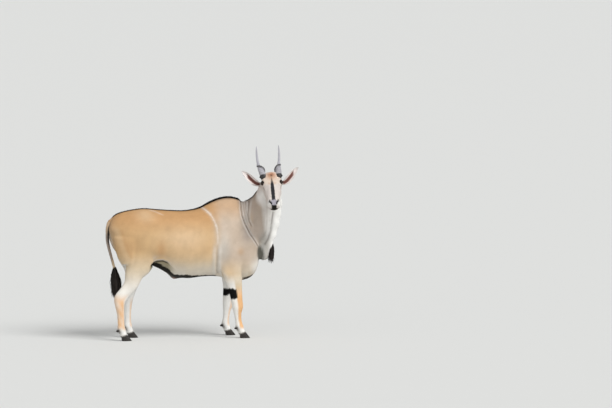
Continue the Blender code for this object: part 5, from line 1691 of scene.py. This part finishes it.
def hanging_hair(name, core, count, long, width, spread, seed, tree, arrays, tones):
    """A tuft of long hair round a core: locks root in it all round and hang down past its end."""
    chance = np.random.default_rng(seed)
    table = eased_rows([(*place, radius) for place, radius in core], 60)
    share = chance.random(count) ** 0.85
    at = (share * 0.90 * 59).astype(int)
    angle = chance.uniform(0, 2 * math.pi, count)
    along = unit(table[-1, :3] - table[0, :3])
    first = unit(np.cross(along, (0, 1, 0.05)))
    second = np.cross(along, first)
    out = first * np.cos(angle)[:, None] + second * np.sin(angle)[:, None]
    radius = np.maximum(table[at, 3], 0.004)
    length = long * chance.uniform(0.50, 1.08, count) * (1.15 - 0.45 * share)
    sway = chance.normal(0, 0.055, (count, 2)) * length[:, None]
    steps = np.linspace(0, 1, 8)
    rows = []
    for step in steps:
        flare = radius * (
            0.35 + spread * math.sin(math.pi * step * 0.80) * chance.uniform(0.75, 1.10, count)
        )
        wave = 0.003 * np.sin(step * 7 + angle * 3)
        side = first * (sway[:, :1] * step**1.5 + wave[:, None]) + second * sway[:, 1:] * step**1.5
        rows.append(table[at, :3] + along * (length * step)[:, None] + out * flare[:, None] + side)
    spines = np.stack(rows, axis=1)
    profile = np.array((0.55, 0.9, 1.0, 1.0, 0.85, 0.62, 0.36))
    widths = width * chance.uniform(0.6, 1.3, (count, 1)) * profile[None]
    places, _ = nearest_places(tree, arrays, spines[:, 0])
    shift = chance.normal(1, 0.25, (count, 1))
    ends = [np.column_stack([repeated(tone, count) * shift, np.full(count, 0.5)]) for tone in tones]
    pair = np.stack(ends, axis=1)
    return hair_mesh(name, spines, widths, out, pair, places)


def rooted_hair(name, roots, ways, lengths, width, lift, seed, tree, arrays, tones=None):
    """Longer hair standing or lying on the skin at given roots: manes, fringes and lashes."""
    chance = np.random.default_rng(seed)
    count = len(roots)
    places, facing = nearest_places(tree, arrays, roots)
    laid = flattened(ways, facing)
    steps = np.linspace(0, 1, 5)
    rows = []
    for step in steps:
        rise = lift * step * (1 - 0.35 * step)
        rows.append(
            roots + laid * (lengths * step)[:, None] + facing * (lengths * rise - 0.001)[:, None]
        )
    spines = np.stack(rows, axis=1)
    stray = (steps**1.5)[None, :, None] * (lengths * 0.08)[:, None, None]
    spines += chance.normal(0, 1, (count, 1, 3)) * stray
    widths = width * chance.uniform(0.7, 1.2, (count, 1)) * np.array((0.8, 1.0, 0.85, 0.5))[None]
    if tones is None:
        tones = painted(roots, facing)
    shift = chance.normal(1, 0.10, (count, 1))
    pair = np.stack([tones * shift * 0.9, tones * shift * 1.05], axis=1)
    return hair_mesh(name, spines, widths, facing, pair, places)


def on_skin(tree, spots):
    return np.array([tree.find_nearest(Vector(spot))[0] for spot in spots])


def manes(tree, arrays):
    """The short dark mane of the back, the hump and the neck's crest, and the patch on the forehead."""
    chance = np.random.default_rng(21)
    made = []
    count = 5600
    x = chance.uniform(-0.74, 0.65, count)
    hump = np.interp(x, (-0.74, 0.05, 0.30, 0.50, 0.74), (0.35, 0.35, 1.0, 1.0, 0.7))
    keep = chance.random(count) < np.interp(hump, (0.35, 1.0), (0.55, 1.0))
    x, hump = x[keep], hump[keep]
    half = np.interp(
        x, (-0.74, 0.05, 0.20, 0.35, 0.60, 0.72), (0.012, 0.018, 0.030, 0.036, 0.032, 0.016)
    )
    y = np.clip(chance.normal(0, 0.5, len(x)), -1, 1) * half
    spots = np.stack([x, y, np.interp(x, OUTLINE[0], OUTLINE[1]) + 0.01], axis=1)
    roots = on_skin(tree, spots)
    dark = repeated((*BLACK, 0.6), len(x))
    ways = repeated((-1.0, 0.0, -0.05), len(x))
    lengths = 0.018 + 0.018 * hump
    made.append(
        rooted_hair("back_mane", roots, ways, lengths, 0.0030, 0.42, 22, tree, arrays, dark)
    )
    line = neck_rows(60)[:, :3]
    line = line[(line[:, 0] > 0.700) & (line[:, 0] < 0.800)]
    count = 260
    at = chance.uniform(0, len(line) - 1.001, count)
    low = at.astype(int)
    spots = line[low] + (line[low + 1] - line[low]) * (at - low)[:, None]
    spots += chance.normal(0, 0.006, spots.shape) + (0.0, 0.0, 0.01)
    roots = on_skin(tree, spots)
    ways = line[low] - line[low + 1]
    dark = repeated((*UMBER, 0.65), count) * chance.uniform(0.5, 1.3, (count, 1))
    dark[:, 3] = 0.65
    lengths = chance.uniform(0.020, 0.034, count)
    made.append(
        rooted_hair("crest_mane", roots, ways, lengths, 0.0028, 0.55, 23, tree, arrays, dark)
    )
    count = 1300
    ahead, aside = chance.normal(0.010, 0.026, count), chance.normal(0, 0.026, count)
    roots = on_skin(tree, from_head(np.stack([ahead, aside, np.full(count, 0.02)], axis=1)))
    back, out = head_turn() @ np.array((-1.0, 0.0, 0.2)), head_turn() @ np.array((0, 1, 0))
    ways = repeated(back, count) + (aside * 8)[:, None] * out
    lengths = chance.uniform(0.007, 0.014, count)
    made.append(rooted_hair("forehead_patch", roots, ways, lengths, 0.0018, 0.30, 24, tree, arrays))
    return made


def ear_fringes(tree, arrays):
    """Pale hair along the rims of the ears, leaning into the cup."""
    chance = np.random.default_rng(31)
    turn = head_turn()
    roots, ways = [], []
    table = ear_rows()
    for side in (1, -1):
        facing = unit(flipped(EAR_FACING, side))
        for k in chance.integers(14, 58, 760):
            row, after = table[k].copy(), table[k + 1].copy()
            row[1] *= side
            after[1] *= side
            along = unit(after[:3] - row[:3])
            front = unit(facing - along * (facing @ along))
            across = np.cross(along, front)
            half, cup, thick = row[3:]
            outer = half / math.sin(min(cup, math.pi / 2))
            rim = chance.choice((-1, 1))
            angle = rim * cup * chance.uniform(0.72, 1.0)
            spot = row[:3] + (outer - thick * 0.5) * (
                math.sin(angle) * across - math.cos(angle) * front
            )
            roots.append(from_head(spot[None])[0])
            ways.append(turn @ (along * 0.75 - across * rim * 0.55))
    roots = on_skin(tree, np.array(roots))
    count = len(roots)
    pale = repeated((*WHITE, 0.7), count)
    lengths = chance.uniform(0.010, 0.022, count)
    return rooted_hair(
        "ear_fringes", roots, np.array(ways), lengths, 0.0013, 0.35, 32, tree, arrays, pale
    )


def lashes(tree, arrays):
    """Dark upper lashes over each eye."""
    chance = np.random.default_rng(41)
    turn = head_turn()
    roots, ways = [], []
    for side in (1, -1):
        centre, out, long, rise = eye_axes(side)
        for angle in np.linspace(0.35, math.pi - 0.35, 30):
            angle += chance.normal(0, 0.03)
            way = unit(out + long * math.cos(angle) * 0.90 + rise * math.sin(angle) * 0.56)
            roots.append(from_head((centre + way * (EYE_RADIUS + LID))[None])[0])
            ways.append(turn @ (out * 0.9 + rise * 0.35 + long * math.cos(angle) * 0.4))
    roots, ways = np.array(roots), np.array(ways)
    count = len(roots)
    steps = np.linspace(0, 1, 5)
    up = turn @ np.array((0, 0, 1.0))
    lengths = chance.uniform(0.010, 0.014, count)
    spines = roots[:, None] + ways[:, None] * (lengths[:, None] * steps)[:, :, None]
    spines -= up * (0.004 * steps**2)[None, :, None]
    widths = np.full((count, 1), 0.0010) * np.array((1.0, 0.9, 0.7, 0.4))[None]
    places, facing = nearest_places(tree, arrays, roots)
    pair = np.tile(np.array((*BLACK, 0.5)), (count, 2, 1))
    return hair_mesh("lashes", spines, widths, facing + 0.01, pair, places)


def fine_horn(side):
    """A horn with a winding keel, rings of growth and a smooth tip."""
    rows, ring = 150, 40
    table = eased_rows([(*place, radius, keel) for place, radius, keel in HORN], rows)
    table[:, 1] *= side
    table[:, 1] += HORN_LEAN * np.sin(math.pi * np.linspace(0, 1, rows)) ** 2
    heading = np.gradient(table[:, :3], axis=0)
    around = np.linspace(0, 2 * math.pi, ring, endpoint=False)
    bearing = around - 2 * math.pi * (around > math.pi)
    keel = np.exp(-((bearing / 0.48) ** 2))
    groove = np.exp(-(((np.abs(bearing) - 0.95) / 0.30) ** 2))
    rings, tones = [], []
    for k, (row, direction) in enumerate(zip(table, heading)):
        along = unit(direction)
        across = unit(np.cross((0, 0, 1), along))
        lift = np.cross(along, across)
        share = k / (rows - 1)
        angle = around + side * 2 * math.pi * HORN_TURNS * min(share / HORN_KEELED, 1.0) + math.pi / 2
        rough = 1 - min(share / 0.60, 1.0)
        growth = 0.0011 * rough * (math.sin(share * 190) + 0.6 * math.sin(share * 83 + 1))
        growth = growth * (0.6 + 0.4 * np.cos(2 * around))
        fibre = 0.00035 * np.sin(around * 13 + share * 5)
        ridge = max(row[4], 0.0)
        radius = max(row[3], 0.0008) + ridge * (1.06 * keel - 0.16 * groove) + growth + fibre * (1 - share)
        wide, high = radius * np.cos(angle), radius * np.sin(angle)
        rings.append(row[:3] + np.outer(wide, across) + np.outer(high, lift))
        # darker keel and band round the base: partly the horn's own colour, partly painted shade of the
        # keel's grooves and of the base
        winding = 1.15 * keel**0.7 * fade(share, 0.40, 0.52)
        dark = np.clip(winding + fade(share - 0.030 * np.cos(around), 0.105, 0.150), 0, 1)
        tone = mix(repeated(HORN_GREY, ring), HORN_BROWN, np.full(ring, 0.45 * rough))
        tone = mix(tone, KEEL, dark)
        tone *= 1 + 0.16 * math.sin(share * 190 + 0.5) * rough
        fleck = np.sin(around * 9 + share * 12) * np.sin(around * 4 + share * 31)
        tone *= 1 + (0.22 * rough + 0.05) * fleck[:, None]
        tones.append(np.column_stack([tone, np.full(ring, 0.42 + 0.25 * rough)]))
    obj = loft("horn", [from_head(ring_points) for ring_points in rings], side)
    set_tones(obj.data, np.clip(np.vstack(tones), 0.01, 1))
    obj.data.shade_smooth()
    return obj


def fine_hoof(foot, side):
    """One claw of a foot with rings of growth, a flat sole and a sloping toe."""
    x, y = FEET[foot]
    levels = [
        (0.000, 0.014, 0.0490, 0.0184),
        (0.004, 0.013, 0.0500, 0.0190),
        (0.030, 0.002, 0.0420, 0.0196),
        (0.058, -0.010, 0.0320, 0.0190),
        (0.090, -0.022, 0.0260, 0.0180),
    ]
    rings = []
    for z, forward, half_long, half_wide in eased_rows(levels, 40):
        angle = np.linspace(0, 2 * math.pi, 48, endpoint=False)
        swell_by = 1 + 0.012 * math.sin(z * 620) * (z > 0.008)
        along = np.sign(np.cos(angle)) * np.abs(np.cos(angle)) ** 0.85 * half_long * swell_by
        wide = np.maximum(np.sin(angle) * half_wide * swell_by, -half_wide * 0.86)
        taper = 1 - 0.30 * np.clip(along / half_long, 0, 1) ** 2
        across = CLEFT / 2 + half_wide * 0.86 + wide * taper
        ring = np.stack([x + forward + along, y + side * across, np.full(48, max(z, 0.0))], axis=1)
        rings.append(ring)
    claw = loft("claw", rings)
    point, normal = coronet(foot)
    lift = Vector(normal).normalized() * (0.05 - GAP)
    claw = cut_away(claw, flat_box("cut", Vector(point) + lift, normal, 0.12, 0.12, 0.10))
    claw.name = foot.replace("leg", "hoof") + ("_left" if side > 0 else "_right") + "_horn"
    return claw


def coronet(foot):
    """A point on the plane where the hoof meets the hair, and the plane's normal."""
    x, y = FEET[foot]
    return (x - 0.010, y, CORONET_HEIGHT), (-CORONET_RISE, 0.0, 1.0)


def dewclaws():
    """The two small claws behind each pastern."""
    made = []
    for foot, (x, y) in FEET.items():
        for side in (1, -1):
            root = np.array(
                (x + DEWCLAW[0] + 0.020, y + side * (DEWCLAW[1] - 0.003), DEWCLAW[2] + 0.006)
            )
            tip = root + np.array((-0.80, side * 0.22, -0.60)) * DEWCLAW_LENGTH
            stations = [
                (root, DEWCLAW_RADIUS * 0.90),
                (root * 0.5 + tip * 0.5, DEWCLAW_RADIUS * 0.95),
                (root * 0.15 + tip * 0.85, DEWCLAW_RADIUS * 0.60),
                (tip, 0.0015),
            ]
            made.append(round_path("dewclaw", stations, 16, 14))
    return joined("dewclaws", made)


def eyeball(label, side):
    """An eye with a bulging clear front, a long dark pupil and a brown iris."""
    centre, out, long, rise = eye_axes(side)
    work = bmesh.new()
    bmesh.ops.create_uvsphere(work, u_segments=64, v_segments=48, radius=1.0)
    mesh = bpy.data.meshes.new("eyeball_" + label)
    work.to_mesh(mesh)
    work.free()
    ball_points = read_points(mesh)
    angle = np.arccos(np.clip(ball_points[:, 2], -1, 1))
    radius = EYE_RADIUS * (0.985 + 0.030 * near(angle, 0.50))
    a, b = ball_points[:, 0], ball_points[:, 1]
    offset = np.outer(a, long) + np.outer(b, rise) + np.outer(ball_points[:, 2], out)
    spots = centre + offset * radius[:, None]
    write_points(mesh, from_head(spots))
    pupil = np.hypot(a / 0.36, b / 0.20)
    iris = np.hypot(a, b)
    rays = 0.5 + 0.5 * np.sin(np.arctan2(b, a) * 31)
    tones = repeated((0.020, 0.012, 0.009), len(a))
    tones = mix(tones, (0.050, 0.024, 0.011), fade(iris, 0.52, 0.62) * (0.55 + 0.45 * rays))
    tones = mix(tones, (0.004, 0.004, 0.005), 1 - ramp(pupil, 0.85, 1.10))
    set_tones(mesh, np.column_stack([tones, np.full(len(a), 0.05)]))
    obj = placed("eyeball_" + label, mesh)
    face_outward(obj)
    mesh.shade_smooth()
    return obj


def wired(tree, node, values, links):
    """A shader node, made first where only its kind is given, with values and links for its inputs."""
    made = tree.nodes.new("ShaderNode" + node) if isinstance(node, str) else node
    for socket, value in values.items():
        made.inputs[socket].default_value = value
    for socket, source in links.items():
        tree.links.new(made.inputs[socket], source)
    return made


def surface(
    name,
    bump_scale,
    bump_depth,
    stretch=(1, 1, 1),
    roughness=None,
    gloss=0.0,
    mottle=0.12,
    ridges=0.0,
    shine=0.5,
):
    """A material that takes the painted tone, mottles it and roughens it with fine noise."""
    material = bpy.data.materials.new(name)
    material.use_nodes = True
    tree = material.node_tree
    place = wired(tree, "TexCoord", {}, {}).outputs["Object"]
    tone = wired(tree, "Attribute", {}, {})
    tone.attribute_name = "tone"
    broad = wired(tree, "TexNoise", {"Scale": 11.0, "Detail": 5.0}, {"Vector": place})
    spread = wired(tree, "Mapping", {"Scale": stretch}, {"Vector": place}).outputs["Vector"]
    fine = wired(tree, "TexNoise", {"Scale": bump_scale, "Detail": 4.0}, {"Vector": spread})
    both = wired(tree, "Math", {}, {0: broad.outputs["Fac"], 1: fine.outputs["Fac"]})
    both.operation = "ADD"
    reach = {"From Min": 0.6, "From Max": 1.4, "To Min": 1.0 - mottle, "To Max": 1.0 + mottle}
    level = wired(tree, "MapRange", reach, {"Value": both.outputs["Value"]})
    shade = wired(tree, "Mix", {}, {})
    shade.data_type = "RGBA"
    shade.blend_type = "MULTIPLY"
    wired(tree, shade, {"Factor": 1.0}, {6: tone.outputs["Color"], 7: level.outputs["Result"]})
    bump = wired(
        tree, "Bump", {"Distance": bump_depth, "Strength": 1.0}, {"Height": fine.outputs["Fac"]}
    )
    if ridges:
        wave = wired(tree, "TexWave", {"Scale": ridges, "Distortion": 2.0}, {"Vector": place})
        wave.bands_direction = "Z"
        links = {"Height": wave.outputs["Fac"], "Normal": bump.outputs["Normal"]}
        bump = wired(tree, "Bump", {"Distance": bump_depth * 0.7}, links)
    values = {"Specular IOR Level": shine}
    links = {"Base Color": shade.outputs[2], "Normal": bump.outputs["Normal"]}
    if roughness is None:
        links["Roughness"] = tone.outputs["Alpha"]
    else:
        values["Roughness"] = roughness
    if gloss:
        values.update({"Coat Weight": gloss, "Coat Roughness": 0.03})
    wired(tree, tree.nodes["Principled BSDF"], values, links)
    return material


def dress(obj, material, slot, *nodes):
    """Gives obj its material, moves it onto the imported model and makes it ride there."""
    obj.data.materials.clear()
    obj.data.materials.append(material)
    obj.data.transform(Matrix.Translation(SHIFT))
    obj.data.update()
    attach(obj, "root")
    if nodes:
        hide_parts(*nodes)


def plain_tones(obj, colour, matt):
    tones = np.tile(np.array((*colour, matt)), (len(obj.data.vertices), 1))
    set_tones(obj.data, tones)


def camera_and_light(shift):
    azimuth, elevation = math.radians(CAMERA_AZIMUTH), math.radians(CAMERA_ELEVATION)
    right = np.array((math.cos(azimuth), math.sin(azimuth), 0.0))
    level = np.array((math.sin(azimuth), -math.cos(azimuth), 0.0)) * math.cos(elevation)
    back = level + (0.0, 0.0, math.sin(elevation))
    up = np.cross(back, right)
    over = (MIDDLE_PIXEL[0] - ORIGIN_PIXEL[0]) / PIXELS_PER_METRE
    rise = (ORIGIN_PIXEL[1] - MIDDLE_PIXEL[1]) / PIXELS_PER_METRE
    middle = right * over + up * rise + shift
    camera = placed("camera", bpy.data.cameras.new("camera"))
    camera.data.sensor_width = 36.0
    camera.data.lens = 36.0 * CAMERA_AWAY * PIXELS_PER_METRE / PHOTO_WIDTH
    camera.location = middle + back * CAMERA_AWAY
    camera.rotation_mode = "QUATERNION"
    camera.rotation_quaternion = Vector(-back).to_track_quat("-Z", "Y")
    camera.data.clip_start, camera.data.clip_end = 1.0, 2000.0
    bpy.context.scene.camera = camera
    for name, power, spread, way in (
        ("key", 2.4, 35.0, (-0.50, 0.75, -0.85)),
        ("fill", 0.45, 90.0, (0.9, 0.6, -0.4)),
        ("front", 0.55, 80.0, (0.25, 0.95, -0.25)),
    ):
        lamp = bpy.data.lights.new(name, "SUN")
        lamp.energy = power
        lamp.angle = math.radians(spread)
        obj = placed(name, lamp)
        obj.rotation_mode = "QUATERNION"
        obj.rotation_quaternion = Vector(way).to_track_quat("-Z", "Y")
    world = bpy.data.worlds.new("studio")
    world.use_nodes = True
    world.node_tree.nodes["Background"].inputs["Color"].default_value = (0.86, 0.88, 0.90, 1.0)
    world.node_tree.nodes["Background"].inputs["Strength"].default_value = 0.50
    bpy.context.scene.world = world
    bpy.context.scene.view_settings.view_transform = "Standard"
    corners = [(-900, -900, 0), (900, -900, 0), (900, 900, 0), (-900, 900, 0)]
    floor = mesh_object("floor", corners, [(0, 1, 2, 3)])
    paint = bpy.data.materials.new("floor")
    paint.use_nodes = True
    paint.node_tree.nodes["Principled BSDF"].inputs["Base Color"].default_value = (0.70, 0.70, 0.68, 1.0)
    paint.node_tree.nodes["Principled BSDF"].inputs["Roughness"].default_value = 0.9
    floor.data.materials.append(paint)


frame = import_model()
low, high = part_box("eye_left")
SHIFT = tuple((np.array(low) + np.array(high)) / 2 - from_head(np.array([EYE]))[0])

hide = skin()
OUTLINE = measured(read_points(hide.data))
head_spots = to_head(read_points(hide.data))
NOSTRIL_LINES = [laid_on(mirrored(NOSTRIL, side), head_spots) for side in (1, -1)]
MOUTH_LINES = [laid_on(mirrored(MOUTH, side), head_spots) for side in (1, -1)]
unwrapped(hide)
arrays = mesh_arrays(hide.data)
set_tones(hide.data, painted(arrays[0], arrays[1]))
tree = BVHTree.FromPolygons(arrays[0].tolist(), arrays[2].tolist())
pieces = coat(arrays)
pieces += manes(tree, arrays)
fringe = ear_fringes(tree, arrays)
lash = lashes(tree, arrays)
tail_hair = hanging_hair(
    "tail_hair", TAIL_HAIR, 520, 0.235, 0.0085, 1.75, 51, tree, arrays, (BLACK, (0.030, 0.022, 0.018))
)
dewlap_hair = hanging_hair(
    "dewlap_hair", DEWLAP_HAIR, 280, 0.155, 0.0065, 1.25, 52, tree, arrays, (BLACK, (0.028, 0.020, 0.018))
)

fur = surface("fur", 900.0, 0.0004, (0.35, 1.0, 0.8), shine=0.04)
hair = surface("long_hair", 600.0, 0.0005, (1.0, 1.0, 0.2), roughness=0.55, shine=0.12)
horn_matter = surface("horn_matter", 420.0, 0.0004, gloss=0.12, mottle=0.16)
claw_matter = surface(
    "claw_matter", 260.0, 0.0005, roughness=0.48, mottle=0.30, ridges=34.0, shine=0.3
)
eye_matter = surface("eye_matter", 300.0, 0.00002, mottle=0.05, shine=0.40)

dress(hide, fur, "coat", "torso", "neck", "head", "tail", "ear_left", "ear_right", *FEET)
for piece in pieces:
    dress(piece, fur, "coat")
dress(fringe, fur, "coat_face")
dress(lash, hair, "hair_black")
dress(tail_hair, hair, "hair_black", "tail_tuft")
dress(dewlap_hair, hair, "hair_black", "dewlap_tuft")
for label, side in (("left", 1), ("right", -1)):
    growth = fine_horn(side)
    growth.name = "spiral_horn_" + label
    dress(growth, horn_matter, "horn", "horn_" + label)
    dress(eyeball(label, side), eye_matter, "eye", "eye_" + label)
for foot in FEET:
    for label, side in (("left", 1), ("right", -1)):
        claw = fine_hoof(foot, side)
        plain_tones(claw, (0.028, 0.024, 0.021), 0.42)
        claw.data.shade_smooth()
        claw.data.set_sharp_from_angle(angle=math.radians(50))
        dress(claw, claw_matter, "hoof", foot.replace("leg", "hoof") + "_" + label)
spurs = dewclaws()
plain_tones(spurs, (0.026, 0.022, 0.020), 0.45)
spurs.data.shade_smooth()
dress(spurs, claw_matter, "hoof")
camera_and_light(np.array(SHIFT))
